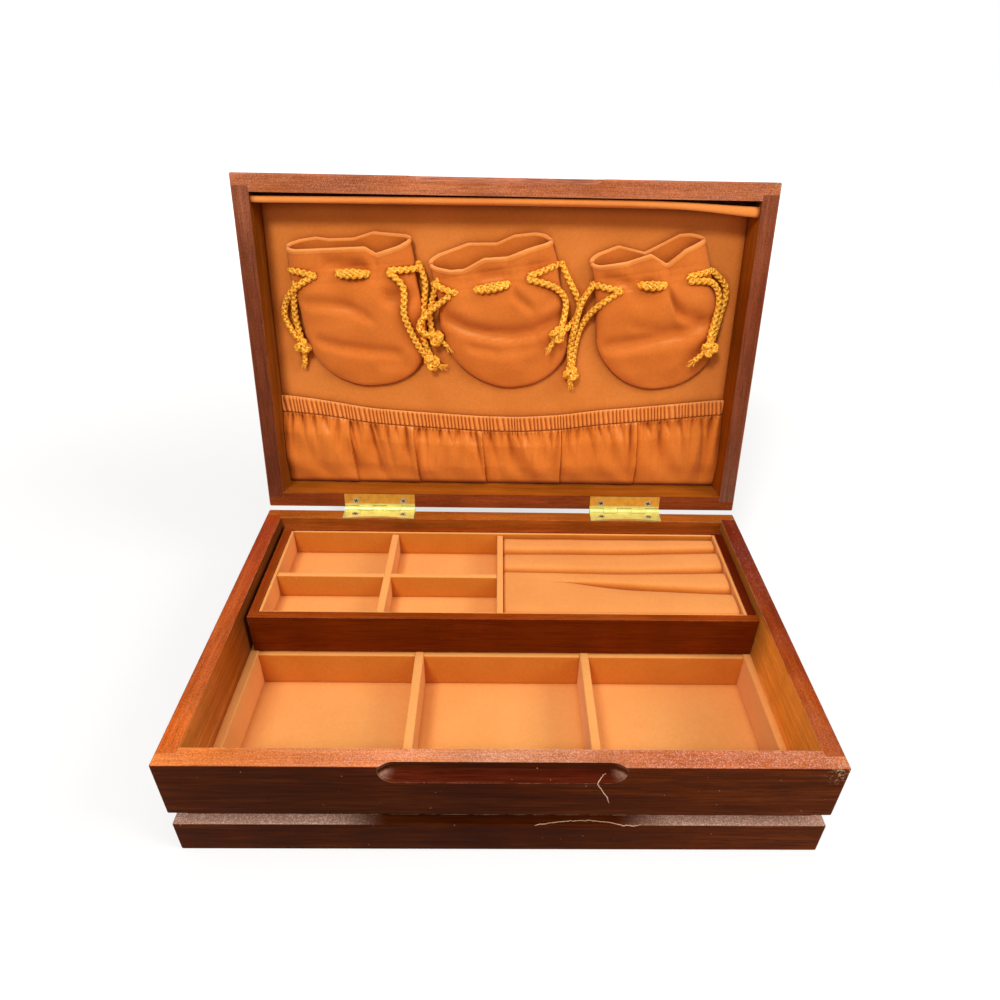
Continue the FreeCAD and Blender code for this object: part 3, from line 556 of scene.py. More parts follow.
# Faces of a grid of points given row by row
def grid_faces(rows, columns, wrap=False, first=0):
    faces = []
    for row in range(rows - 1):
        for column in range(columns if wrap else columns - 1):
            after = (column + 1) % columns
            here = first + row * columns
            above = here + columns
            faces.append((here + column, here + after, above + after, above + column))
    return faces


# Faces of a grid whose columns close into rings, with a face over each end
def ringed_faces(rows, columns, first=0):
    last = first + (rows - 1) * columns
    ends = [list(range(start, start + columns)) for start in (first, last)]
    return grid_faces(rows, columns, True, first) + ends


# A board wrapped in cloth, with soft edges, grown below and above its CAD box by millimetres
def covered_board(node, body, material, below=(0, 0, 0), above=(0, 0, 0), turn=None):
    low, high = closed_box(node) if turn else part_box(node)
    low = Vector(low) - Vector(below) * MM
    high = Vector(high) + Vector(above) * MM
    work = bmesh.new()
    bmesh.ops.create_cube(work, size=1.0)
    size = high - low
    middle = (low + high) / 2
    for vertex in work.verts:
        vertex.co = Vector([vertex.co[axis] * size[axis] + middle[axis] for axis in range(3)])
    offset = min(0.8 * MM, 0.3 * min(size))
    bmesh.ops.bevel(work, geom=work.edges, offset=offset, segments=3, profile=0.6, affect="EDGES")
    points = [vertex.co.copy() for vertex in work.verts]
    work.verts.index_update()
    faces = [[vertex.index for vertex in face.verts] for face in work.faces]
    work.free()
    if turn:
        points = turn(points)
    return add_piece(node + "_cover", points, faces, body, material, [node])


base_boards = {
    "base_floor_pad": (),
    "liner_left": ((0, 0, 0), (1.4, 0, 0)),
    "liner_right": ((0.7, 0, 0), (0, 0, 0)),
    "liner_front": (),
    "liner_back": (),
    "liner_cross_divider": ((0, 1.0, 0), (0, 0, -1.2)),
    "liner_left_divider": ((0.7, 0, 0), (0.7, 0, -0.2)),
    "liner_right_divider": ((0.7, 0, 0), (0.7, 0, -0.2)),
}
tray_boards = {
    "tray_floor_pad": (),
    "tray_lining_left": ((0.35, 0, 0), (0, 0, 0.35)),
    "tray_lining_right": ((0, 0, 0), (0.35, 0, 0.35)),
    "tray_lining_front": ((0, 0.35, 0), (0, 0, 0.35)),
    "tray_lining_back": ((0, 0, 0), (0, 0.35, 0.35)),
    "tray_ring_partition": (),
    "tray_cross_divider": (),
    "tray_long_divider": ((0.3, 0, 0), (0.3, 0, 0.15)),
    "ring_pad_board": (),
}
for body, boards in (("base", base_boards), ("tray", tray_boards)):
    for node, growth in boards.items():
        covered_board(node, body, board_cloth, *growth)
covered_board("lid_lining_panel", "lid", panel_cloth, turn=opened)


# A line through points, its corners softened over a width
def through(points, at, blur):
    across, height = zip(*points)
    shifts = np.linspace(-blur, blur, 9)
    return np.mean([np.interp(np.asarray(at) + shift, across, height) for shift in shifts], axis=0)


# Smooth random values at places, the same in every run
def wobble(places, scale, seed):
    start = Vector((seed, 0.37 * seed, 0.11 * seed))
    return np.array([noise.noise(Vector(place) * scale + start) for place in places])


# Lining strip along the top of the lid, bowed and loose at its right end
strip_bow = ((-1.0, 0.2), (-0.45, 1.0), (0.15, 1.7), (0.6, 1.5), (0.82, 0.3), (1.0, -1.2))
strip_slack = ((0.5, 0.0), (0.8, 0.7), (1.0, 2.4))


def lining_strip():
    low, high = closed_box("lid_lining_strip")
    half = high[0] / MM
    foot = (back_y - high[1]) / MM
    head = (back_y - low[1]) / MM
    reach = (lining_z - low[2]) / MM
    shares = np.linspace(-1, 1, 73)
    bows = through(strip_bow, shares, 0.12)
    slacks = through(strip_slack, shares, 0.1)
    section = (
        (1, 0.0), (1, reach - 0.8), (0.8, reach - 0.2), (0.5, reach), (0.2, reach - 0.2), (0, reach - 0.8),
        (0, 0.5 * reach), (0, 0.0),
    )
    points = []
    for share, bow, slack in zip(shares, bows, slacks):
        for height, out in section:
            v = foot + (head - foot) * height + bow * (0.3 + 0.7 * out / reach)
            v -= slack * (1 - height) * out / reach
            points.append((share * half, v, out))
    faces = ringed_faces(len(shares), len(section))
    node = "lid_lining_strip"
    add_piece(node + "_cover", on_lid(points), faces, "lid", strip_cloth, [node])


lining_strip()

# Ring rolls between slots that wander across the tray, in millimetres
roll_x0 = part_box("ring_roll_1")[0].x
roll_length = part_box("ring_roll_1")[1].x - roll_x0
roll_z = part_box("ring_roll_1")[0].z
roll_height = (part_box("ring_roll_1")[1].z - roll_z) / MM
cell_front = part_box("tray_lining_front")[1].y / MM
cell_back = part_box("tray_lining_back")[0].y / MM
slot_lines = (
    ((0, cell_front), (1, cell_front)),
    ((0, 37.4), (0.32, 36.0), (0.65, 31.8), (1, 29.5)),
    ((0, 47.0), (0.5, 46.0), (1, 49.0)),
    ((0, 65.5), (0.5, 66.0), (1, 68.5)),
    ((0, cell_back), (1, cell_back)),
)
slot_openings = (
    ((0, 1), (1, 1)),
    ((0.26, 0), (0.5, 1)),
    ((0, 1), (1, 1)),
    ((0, 1), (1, 1)),
    ((0, 1), (1, 1)),
)
slot_half = 0.25
crown_steps = -np.cos(np.linspace(0, math.pi, 23))


def ring_roll(index):
    shares = 0.5 - 0.5 * np.cos(np.linspace(0, math.pi, 97))
    fronts = through(slot_lines[index], shares, 0.08)
    backs = through(slot_lines[index + 1], shares, 0.08)
    front_opens = through(slot_openings[index], shares, 0.08)
    back_opens = through(slot_openings[index + 1], shares, 0.08)
    uneven = wobble([(share, 0, 0) for share in shares], 5.0, 3.0 * index)
    points = []
    for share, front, back, front_open, back_open, lump in zip(
        shares, fronts, backs, front_opens, back_opens, uneven
    ):
        from_end = min(share, 1 - share) * roll_length / MM
        drawn = max(0.0, 1 - from_end / 1.6) ** 2
        front += slot_half * front_open
        back -= slot_half * back_open
        half = (back - front) / 2
        middle = (front + back) / 2
        top = roll_height * (1 - 0.14 * drawn) + 0.35 * lump * front_open * back_open
        shoulder = 0.58 * top
        section = []
        for step in crown_steps:
            slot_open = front_open if step < 0 else back_open
            crown = 1 - slot_open * (1 - (1 - abs(step) ** 3.4) ** 0.5)
            section.append((middle + half * step, shoulder + (top - shoulder) * crown))
        foot = 0.94 * half
        section += [(middle + foot, 0.0), (middle - foot, 0.0)]
        points += [(roll_x0 + share * roll_length, y * MM, roll_z + z * MM) for y, z in section]
    faces = ringed_faces(len(shares), len(crown_steps) + 2)
    name = "ring_roll_" + str(index + 1)
    roll = add_piece(name + "_cushion", points, faces, "tray", roll_cloth, [name])


for index in range(len(slot_lines) - 1):
    ring_roll(index)

# Gathered pocket, in millimetres across, up and out from the lid lining
pocket_half = closed_box("lid_pocket_elastic")[1][0] / MM
pocket_foot = (back_y - closed_box("lid_pocket")[1][1]) / MM - 1.0
hem_height = 9.4
stitch_line = (
    (-137.0, 57.4), (-110.5, 54.8), (-85.4, 50.5), (-53.5, 48.3), (-15.0, 46.1), (10.8, 45.8), (36.5, 47.5),
    (62.1, 51.2), (87.7, 53.5), (113.2, 56.2), (137.0, 58.8),
)
ruffle_count = 112
ruffle_lean = 1.2
pocket_pleats = ((-99.1, -95.4), (-58.0, -54.7), (-13.8, -11.1), (37.3, 37.4), (86.1, 86.5))
pocket_columns = 901
body_rows = 36
hem_rows = 14
valley_count = 42
valley_margin = 7.0


# Rounded ridges with sharp valleys between them
def ridges(share, count, drift, power):
    return np.abs(np.cos(math.pi * (count * share + drift))) ** power


# Each panel of cloth rises to its right edge and laps over the next one
def pleat_rise(x, low_share):
    edges = [-pocket_half]
    edges += [top + (bottom - top) * low_share for top, bottom in pocket_pleats]
    edges.append(pocket_half + 40.0)
    rise = np.zeros_like(x)
    for start, end in zip(edges, edges[1:]):
        share = np.clip((x - start) / (end - start), 0, 1)
        inside = (x >= start) & (x < end)
        rise[inside] = share[inside] ** 1.6
    return rise


# Sharp valleys that run down from the gathered hem and fade out, each at its own place and slant
def gather_valleys(x, below):
    draw = random.Random(4)
    press = np.zeros_like(x)
    for place in np.linspace(valley_margin - pocket_half, pocket_half - valley_margin, valley_count):
        start = place + draw.uniform(-2.0, 2.0)
        slant = draw.uniform(-0.12, 0.32)
        length = draw.choice((9.0, 13.0, 18.0, 26.0, 40.0))
        depth = draw.uniform(1.8, 3.8)
        width = draw.uniform(1.0, 1.8) * (1 + below / 18.0)
        off = np.abs(x - start - slant * below) / width
        press += depth * np.exp(-off ** 1.2 - (below / length) ** 2)
    return press


# Soft folds that wander across the pocket
def wandering_folds(x, below, pitch, length, seed):
    places = np.column_stack([x / pitch, below / length, np.zeros_like(x)])
    return 2.0 * wobble(places, 1.0, seed)


def pocket_sheet():
    x = np.linspace(-pocket_half, pocket_half, pocket_columns)
    drift = 1.0 * wobble([(value, 0, 0) for value in x], 0.1, 1.0)
    stitch = through(stitch_line, x, 8.0)
    top = stitch + hem_height + np.interp(x, (-137.0, -110.0), (1.0, 0.0))

    def ruffles(lean):
        return ridges((x - lean + pocket_half) / (2 * pocket_half), ruffle_count, drift, 0.7)

    rows = []
    for step in np.linspace(0, 1, body_rows):
        v = pocket_foot + (stitch - pocket_foot) * step
        below = stitch - v
        stand = np.interp(step, (0, 0.03, 0.35, 0.75, 1), (0.3, 1.2, 4.4, 5.2, 1.6))
        puckers = 1.5 * ruffles(ruffle_lean) * np.exp(-below / 2.2)
        valleys = gather_valleys(x, below) * (1 - np.exp(-below / 1.5)) * min(1.0, 5 * step)
        folds = wandering_folds(x + 0.1 * below, below, 5.0, 40.0, 11.0)
        folds = 1.3 * folds * np.exp(-below / 26.0) * (1 - np.exp(-below / 5.0)) * min(1.0, 5 * step)
        drapes = wandering_folds(x - 0.4 * below, below, 13.0, 30.0, 23.0)
        drapes = 2.2 * drapes * (1 - np.exp(-below / 9.0)) * min(1.0, 4 * step)
        lap = 2.8 * pleat_rise(x, 1 - step) * (1 - np.exp(-below / 2.0)) * min(1.0, 8 * step + 0.35)
        rows.append((v, np.maximum(stand + puckers - valleys + folds + drapes + lap, 0.3)))
    rows.append((stitch + 0.35, 0.7 + 0.6 * ruffles(ruffle_lean)))
    for step in np.linspace(0.09, 1, hem_rows):
        ruffle = ruffles(ruffle_lean * (1 - step))
        v = stitch + hem_height * step + 0.35 * (ruffle - 0.5) * step
        depth = np.interp(step, (0.0, 0.12, 0.84, 1.0), (1.2, 1.9, 1.9, 0.8))
        base = np.interp(step, (0.0, 0.12, 0.84, 1.0), (0.8, 0.9, 0.9, 2.0))
        rows.append((v, base + depth * ruffle))
    rows.append((top + 0.6, 1.3 + 1.0 * ruffles(0.0)))
    rows.append((top + 0.2, 0.4 + 0.2 * ruffles(0.0)))
    points = [np.column_stack([x, np.broadcast_to(v, x.shape), up]) for v, up in rows]
    cloth = add_piece(
        "lid_pocket_cloth", on_lid(np.concatenate(points)), grid_faces(len(rows), pocket_columns),
        "lid", pocket_cloth, ["lid_pocket", "lid_pocket_elastic"],
    )
    cloth.data.materials.append(hem_and_bead_highlight_cloth)
    for face in cloth.data.polygons:
        face.material_index = int(face.index >= body_rows * (pocket_columns - 1))
    thick = cloth.modifiers.new("thickness", "SOLIDIFY")
    thick.thickness = 0.3 * MM
    thick.offset = 0.0


pocket_sheet()

# Drawstring pouches, each in its own millimetres across, up and out, then tilted on the lid
pouch_foot = 74.8
pouch_height = 90.1
pouch_half = 37.0
pouch_curve = 36.9
pouch_shell = 1.6
bead_radius = 1.2
bead_rings = 13
casing_height = 68.0
rim_start = 60.0
pouch_widths = ((pouch_curve, 0.99), (59.5, 0.98), (71.0, 1.0), (80.0, 0.98), (90.0, 0.95))
pouch_lifts = (
    (0.0, 1.2), (0.4, 2.6), (1.2, 3.6), (3.0, 4.4), (12.0, 6.6), (24.0, 8.8), (36.9, 10.4), (52.0, 11.8),
    (59.5, 11.7), (64.0, 11.0), (68.0, 10.6), (72.0, 11.0), (80.0, 12.2), (90.0, 13.0),
)
seam_levels = ((0.0, 0.9), (12.0, 2.2), (40.0, 3.2), (70.0, 4.2), (90.0, 6.0))
back_levels = ((0.0, 0.4), (60.0, 0.5), (90.0, 2.0))
pouches = {
    "left": {
        "centre": -87.5,
        "tilt": 5.0,
        "sway": ((0, 2.8), (35, 2.4), (50, 1.6), (65, 0)),
        "slim": ((0, 0), (90, 0)),
        "fullness": 2.5,
        "back_rim": (
            (-36, 85.4), (-34, 87), (-28.5, 88.2), (-19, 88.9), (-12, 87.4), (3, 86.8), (15, 89.4),
            (26, 87.6), (33, 86.6), (36, 85.4),
        ),
        "front_rim": (
            (-36, 85.4), (-34, 84), (-30, 83.2), (-12, 82.7), (9.5, 81.9), (14.8, 77.8), (29, 81.1),
            (34.5, 83.4), (36, 85.4),
        ),
        "valleys": ((14.0, 5.0, 4.0), (1.0, 1.6, 8.0), (-20.0, 0.8, 6.0)),
        "creases": (
            (((-15, 78), (-2.6, 76.8), (10, 74)), 2.4, 2.8),
            (((-34, 56.3), (-18.3, 54.6), (-4.2, 52.4)), 2.4, 2.4),
            (((-5, 50.7), (0.8, 47.9), (6.3, 44.6)), 1.8, 2.6),
            (((15, 57.8), (24.7, 56.8), (37, 56)), 3.4, 3.4),
            (((-30.5, 33.9), (-14, 28.5), (3, 24.8), (20, 22)), 2.6, 2.2),
            (((5, 17.7), (24, 15.8)), 1.2, 3.0),
        ),
    },
    "middle": {
        "centre": 1.0,
        "tilt": 9.5,
        "sway": ((0, 1.4), (12, 0.9), (26, -0.6), (42, -2.7), (60, -2.5), (75, -3.1), (90, -4.4)),
        "slim": ((0, 0), (30, -1.0), (45, -1.6), (62, 0)),
        "fullness": 2.15,
        "back_rim": (
            (-36, 81.6), (-34.5, 83.4), (-30.3, 85.1), (-11.6, 88.4), (4.4, 86), (15.8, 88.8), (28, 88.2),
            (33, 86.6), (36, 83),
        ),
        "front_rim": (
            (-36, 81.6), (-34.8, 79.8), (-32, 78.2), (-24.5, 75.6), (-16.9, 75), (-4.4, 79.4), (8.4, 78),
            (20.9, 80.6), (32, 82), (36, 83),
        ),
        "valleys": ((-18.0, 2.6, 5.0), (8.0, 2.6, 5.0), (26.0, 1.4, 5.0)),
        "creases": (
            (((-36, 54.1), (-30, 50.8), (-20, 44.4), (-7.6, 39.4), (4.3, 36.8), (16.7, 37), (28.8, 41.8),
              (38, 45)), 4.6, 3.2),
            (((-25, 33.5), (-8.3, 27.6), (8, 26.6), (20, 28)), 2.0, 2.4),
            (((8, 60.6), (12.3, 55.7), (18, 51)), 2.4, 2.6),
            (((24, 50), (33, 55)), 1.6, 2.8),
            (((-10, 73), (6, 72.4)), 2.0, 2.6),
            (((18, 73), (34, 74)), 1.6, 2.6),
            (((-36, 74.5), (-22, 73.5)), 1.2, 2.6),
        ),
    },
    "right": {
        "centre": 89.5,
        "tilt": 9.0,
        "sway": ((0, 3.0), (18, 2.8), (30, 1.7), (52, 1.9), (72, 0.8), (84, -1.0), (90, -1.6)),
        "slim": ((30, 0), (52, 0.4), (72, 2.8), (90, 2.4)),
        "fullness": 2.2,
        "back_rim": (
            (-36, 82.4), (-34, 84.4), (-30.4, 85.9), (-17, 88.4), (-1.5, 82.6), (22, 89.6), (28.5, 89.2),
            (33.5, 87.6), (36, 85.6),
        ),
        "front_rim": (
            (-36, 82.4), (-34.5, 80.6), (-31, 79.4), (-14, 79.4), (0.5, 81.9), (9.4, 74.8), (21.5, 81.6),
            (32, 84.4), (36, 85.6),
        ),
        "valleys": ((8.6, 6.0, 4.2), (-12.0, 1.8, 6.0)),
        "creases": (
            (((-35, 35.4), (-19, 35.6), (-2.6, 36), (16.4, 37.5), (28.5, 41.2), (37, 44)), 4.0, 3.0),
            (((-16, 45.2), (1.4, 41), (14, 40.3)), 1.2, 2.6),
            (((7.4, 63.2), (11.5, 52.2), (16.6, 46.9), (28, 43.4)), 3.0, 3.0),
            (((-31, 75.5), (-21.6, 73.1), (-13, 69.5)), 2.2, 2.6),
        ),
    },
}


# How far a crease presses into the front of a pouch
def crease_depth(x, s, line, depth, width):
    across, height = zip(*line)
    off = s - np.interp(x, across, height) + 1.2 * width
    inside = np.clip(np.minimum(x - across[0], across[-1] - x) / 6.0 + 0.5, 0, 1)
    reach = width * np.where(off > 0, 1.7, 1.25)
    dent = np.exp(-(off / reach) ** 2) - 0.1 * np.exp(-((off + 2.6 * width) / (1.4 * width)) ** 2)
    return depth * inside * dent


# One ring of a pouch, at each column's own height, drawn inwards by an inset
def pouch_ring(spec, u, front, s, inset):
    power = np.where(u > 0, spec["fullness"], 2.0)
    half = np.where(
        s < pouch_curve,
        pouch_half * (1 - np.clip(1 - s / pouch_curve, 0, 1) ** power) ** (1 / power),
        pouch_half * np.interp(s, *zip(*pouch_widths)),
    )
    x = (half - inset - np.interp(s, *zip(*spec["slim"])) * half / pouch_half) * u
    lift = np.interp(s, *zip(*pouch_lifts))
    seam = np.interp(s, *zip(*seam_levels))
    back = np.interp(s, *zip(*back_levels))
    round_off = (1 - np.abs(u) ** 4.5) ** 0.5
    press = np.zeros_like(x)
    into_rim = np.clip((s - rim_start) / 20.0, 0, 1.2) ** 1.5
    for place, depth, width in spec["valleys"]:
        press += depth * np.exp(-np.hypot(x - place, 0.5) / width) * into_rim
    for line, depth, width in spec["creases"]:
        press += crease_depth(x, s, line, depth, width)
    press += 0.2 * np.exp(-((s - casing_height + 4.0) / 0.7) ** 2)
    press += 0.2 * np.exp(-((s - casing_height - 4.0) / 0.7) ** 2)
    soft = wobble(np.column_stack([x, s, np.zeros_like(x)]), 0.06, spec["tilt"])
    press += 1.4 * soft * np.clip(s / 12.0, 0, 1)
    up_front = seam + (lift - inset - seam - press) * round_off
    up_back = seam - (seam - back - inset) * round_off
    up = np.where(front, np.maximum(up_front, up_back + 0.8), up_back)
    return np.column_stack([x + np.interp(s, *zip(*spec["sway"])), s, up])


# Tilts a pouch's points and puts them on the lid
def on_pouch(spec, points):
    across, along, out = np.asarray(points, float).T
    angle = math.radians(spec["tilt"])
    level = along - pouch_height / 2
    x = spec["centre"] + across * math.cos(angle) - level * math.sin(angle)
    v = pouch_foot + pouch_height / 2 + across * math.sin(angle) + level * math.cos(angle)
    return on_lid(np.column_stack([x, v, out]))


def pouch(name, spec):
    half_columns = 121
    sweep = -np.cos(np.linspace(0, math.pi, half_columns))
    u = np.concatenate([sweep, sweep[::-1][1:-1]])
    front = np.arange(len(u)) < half_columns
    guess = u * pouch_half * 0.95
    rim = np.where(front, through(spec["front_rim"], guess, 0.6), through(spec["back_rim"], guess, 0.7))
    rings = []
    for angle in np.linspace(0.06, math.pi / 2, 26):
        rings.append((np.full_like(u, pouch_curve * (1 - math.cos(angle))), 0.0))
    for s in np.linspace(pouch_curve, rim_start, 22)[1:]:
        rings.append((np.full_like(u, s), 0.0))
    for step in np.linspace(0, 1, 28)[1:]:
        rings.append((rim_start + (rim - 2.2 - rim_start) * step, 0.0))
    bead_start = len(rings) - 1
    for angle in np.linspace(-0.62, 0.62, bead_rings) * math.pi:
        rings.append((rim - 0.7 + bead_radius * math.cos(angle), 0.5 + bead_radius * math.sin(angle)))
    for step in np.linspace(0, 1, 24)[1:]:
        rings.append((rim - 2.4 + (20.4 - rim) * step, pouch_shell))
    points = np.concatenate([pouch_ring(spec, u, front, s, inset) for s, inset in rings])
    faces = ringed_faces(len(rings), len(u))
    node = name + "_pouch"
    bag = add_piece(node + "_bag", on_pouch(spec, points), faces, "lid", pouch_cloth, [node])
    # The rim beads take the paler hem cloth, a painted highlight
    bag.data.materials.append(hem_and_bead_highlight_cloth)
    for face in bag.data.polygons:
        face.material_index = int(bead_start <= face.index // len(u) < bead_start + bead_rings)


for name, spec in pouches.items():
    pouch(name, spec)

# Gold drawcords, four plaited strands along each route
plait_pitch = 7.2
strand_orbit = 1.22
strand_wave = 0.34
strand_thick = 0.62
strand_wide = 0.88
strand_sides = 8
core_radius = 0.92


# Points read from the smooth line that has a route's points as its controls
def route_line(points):
    curve = bpy.data.curves.new("route", "CURVE")
    curve.dimensions = "3D"
    curve.resolution_u = 24
    spline = curve.splines.new("NURBS")
    spline.points.add(len(points) - 1)
    for control, point in zip(spline.points, points):
        control.co = (*point, 1.0)
    spline.order_u = 3
    spline.use_endpoint_u = True
    holder = bpy.data.objects.new("route", curve)
    line = bpy.data.meshes.new_from_object(holder)
    places = np.array([vertex.co for vertex in line.vertices])
    bpy.data.objects.remove(holder)
    bpy.data.meshes.remove(line)
    return places


def unit(vectors):
    return vectors / np.linalg.norm(vectors, axis=-1, keepdims=True)


# A normal carried along a line without twisting
def carried_normals(line):
    tangents = unit(np.gradient(line, axis=0))
    normal = unit(np.cross(tangents[0], (0.31, 0.52, 0.8)))
    normals = []
    for tangent in tangents:
        normal = unit(normal - tangent * (normal @ tangent))
        normals.append(normal)
    return np.array(normals), np.cross(tangents, normals)


# A tube of rings round a line, oval where its two half widths differ
def tube(line, radial, sideways, thick, wide, sides, first):
    turns = np.linspace(0, 2 * math.pi, sides, endpoint=False)
    rings = (
        line[:, None]
        + np.multiply.outer(np.cos(turns), thick[:, None] * radial).transpose(1, 0, 2)
        + np.multiply.outer(np.sin(turns), wide[:, None] * sideways).transpose(1, 0, 2)
    )
    return rings.reshape(-1, 3), ringed_faces(len(line), sides, first)


# Plaits four strands along a line and adds them to a mesh's points and faces
def plait(line, points, faces, size=1.0):
    normals, sides = carried_normals(line)
    run = np.concatenate([[0], np.cumsum(np.linalg.norm(np.diff(line, axis=0), axis=1))]) / MM
    turn = 2 * math.pi * run / (plait_pitch * size)
    for way in (1, -1):
        for start in (0, math.pi):
            angle = (way * turn + start)[:, None]
            radial = np.cos(angle) * normals + np.sin(angle) * sides
            orbit = (strand_orbit + way * strand_wave * np.cos(2 * turn))[:, None]
            centre = line + orbit * size * MM * radial
            sideways = unit(np.cross(np.gradient(centre, axis=0), radial))
            thick = np.full(len(line), strand_thick * size * MM)
            wide = np.full(len(line), strand_wide * size * MM)
            made, strips = tube(centre, radial, sideways, thick, wide, strand_sides, sum(map(len, points)))
            points.append(made)
            faces += strips
    radius = np.full(len(line), core_radius * size * MM)
    made, strips = tube(line, normals, sides, radius, radius, strand_sides, sum(map(len, points)))
    points.append(made)
    faces += strips


# Routes across and up from each pouch's foot and out from the lining, two strands to a cord
tails = {
    "left_pouch_left_cord": (
        ((-22.3, 67.1, 11), (-28.8, 64, 11.4), (-36.3, 59.1, 9.4), (-42.7, 52.3, 5), (-45.9, 43.9, 2.3),
         (-43.2, 35.6, 2.5), (-37.4, 28, 3.6)),
        ((-35.5, 62.5, 7.6), (-37.3, 57.1, 6.5), (-39, 47, 3.6), (-38.6, 38.6, 2.8), (-36, 28.6, 3.8)),
    ),
    "left_pouch_right_cord": (
        ((19, 69.2, 11.4), (27.6, 64.4, 12.2), (28.6, 55.4, 12.4), (27, 46.2, 12.2), (31.5, 34.9, 10.2),
         (36.2, 24.2, 7), (41, 17.8, 4.6)),
        ((35.9, 75, 5), (40.8, 65.5, 4), (39.2, 52.3, 3.6), (36.9, 39.2, 5), (38.7, 27.2, 5.2),
         (42.8, 18.4, 4.6)),
    ),
    "middle_pouch_left_cord": (
        ((-33.3, 56.7, 10.2), (-43, 50.1, 9.8), (-52, 41.5, 11.6), (-52, 35, 11), (-45.5, 32.4, 7.6)),
        ((-40.2, 66.5, 6.2), (-41.7, 62.9, 5.5), (-44.5, 53.5, 3.6), (-47.4, 43, 3), (-45, 33.6, 4)),
    ),
    "middle_pouch_right_cord": (
        ((31.5, 76.2, 4.5), (36.9, 64.9, 4.5), (42.8, 55.7, 3), (44.3, 49.9, 2.2), (41.4, 42, 2.6),
         (36.6, 38.4, 6.8), (33, 36.6, 9.8)),
        ((11.7, 66.5, 11.6), (22.2, 64.9, 12.6), (31.4, 60.8, 9.6), (36.8, 51.8, 5.6), (32.6, 38.4, 9.8)),
    ),
    "right_pouch_left_cord": (
        ((-20.9, 61.1, 11.4), (-32.5, 53.8, 9.6), (-41.5, 43.6, 4), (-46.2, 30.8, 2.5), (-47.4, 14, 3.8)),
        ((-37.3, 63.7, 6.5), (-43.4, 55.3, 6), (-45.9, 47, 7.2), (-47.6, 37, 7), (-49.6, 27, 3.6),
         (-48.8, 14, 4)),
    ),
    "right_pouch_right_cord": (
        ((31.8, 73.1, 5.5), (41.2, 66.2, 3.4), (43.4, 59.3, 2.6), (41.5, 49.4, 2.8), (38.9, 39.4, 6),
         (35.6, 31, 9.4)),
        ((17.5, 67, 11.8), (24, 67.4, 12.2), (31.5, 67.2, 9.8), (37.2, 61.5, 6.2), (38.6, 53.5, 5.4),
         (37.4, 45, 6.6), (35.2, 38, 8.8), (34.4, 31.2, 10)),
    ),
}
knots = {
    "left_pouch_left_cord": ((-35.3, 25.1, 4.2), (-35, 18, 3), (-36.5, 11, 2.2)),
    "left_pouch_right_cord": ((43.1, 15.9, 4.5), (47, 14.2, 4.8), (51, 13, 4.4)),
    "middle_pouch_left_cord": ((-42.9, 31.2, 5.5), (-37.6, 28.3, 4.6), (-33.5, 23.5, 5.5)),
    "middle_pouch_right_cord": ((30.7, 35.1, 11), (28, 30.5, 12.6), (24.5, 25.5, 13.6)),
    "right_pouch_left_cord": ((-48.1, 10.7, 4.2), (-48.6, 5.6, 3.6), (-47.2, 0.5, 3)),
    "right_pouch_right_cord": ((34.5, 28, 11), (29.5, 24.5, 12.4), (23.5, 19, 13.4)),
}
casing_runs = {
    "left": (
        ((-38.2, 69, 6.2), (-32, 68.4, 9.6), (-24.4, 67, 11)),
        ((-10.3, 67.7, 11.6), (-1.8, 67.1, 13.2), (6.8, 67.9, 11.6)),
        ((-10.3, 68.3, 11.6), (-1.8, 69.5, 13.0), (6.8, 68.5, 11.6)),
        ((19.5, 70.5, 10.8), (27.6, 70.4, 9.8), (36, 71.4, 6)),
    ),
    "middle": (
        ((-43, 62.6, 6.2), (-37.4, 60, 9.4), (-30.4, 58.2, 10.8)),
        ((-17.8, 59.8, 11.6), (-8.4, 60.8, 13.2), (0.2, 63.4, 11.6)),
        ((-18, 60.4, 11.6), (-8.9, 63.1, 13.0), (0, 64.0, 11.6)),
        ((12, 68.2, 10.8), (20.5, 71, 9.2), (28.7, 74.6, 6)),
    ),
    "right": (
        ((-37.2, 63.7, 6.2), (-31, 62.4, 9.4), (-22.2, 61.3, 11)),
        ((-9.8, 63.9, 11.6), (-3.2, 63.2, 13.2), (3.4, 64.2, 11.6)),
        ((-9.8, 64.5, 11.6), (-3.2, 65.5, 13.0), (3.4, 64.8, 11.6)),
        ((17, 69.4, 10.6), (24, 71, 9.2), (31, 72.8, 6)),
    ),
}


# A route's points on the lid, measured from the foot of a pouch
def beside_pouch(pouch_name, points):
    shift = np.array((pouches[pouch_name]["centre"], pouch_foot, 0.0))
    return on_lid(np.asarray(points, float) + shift)


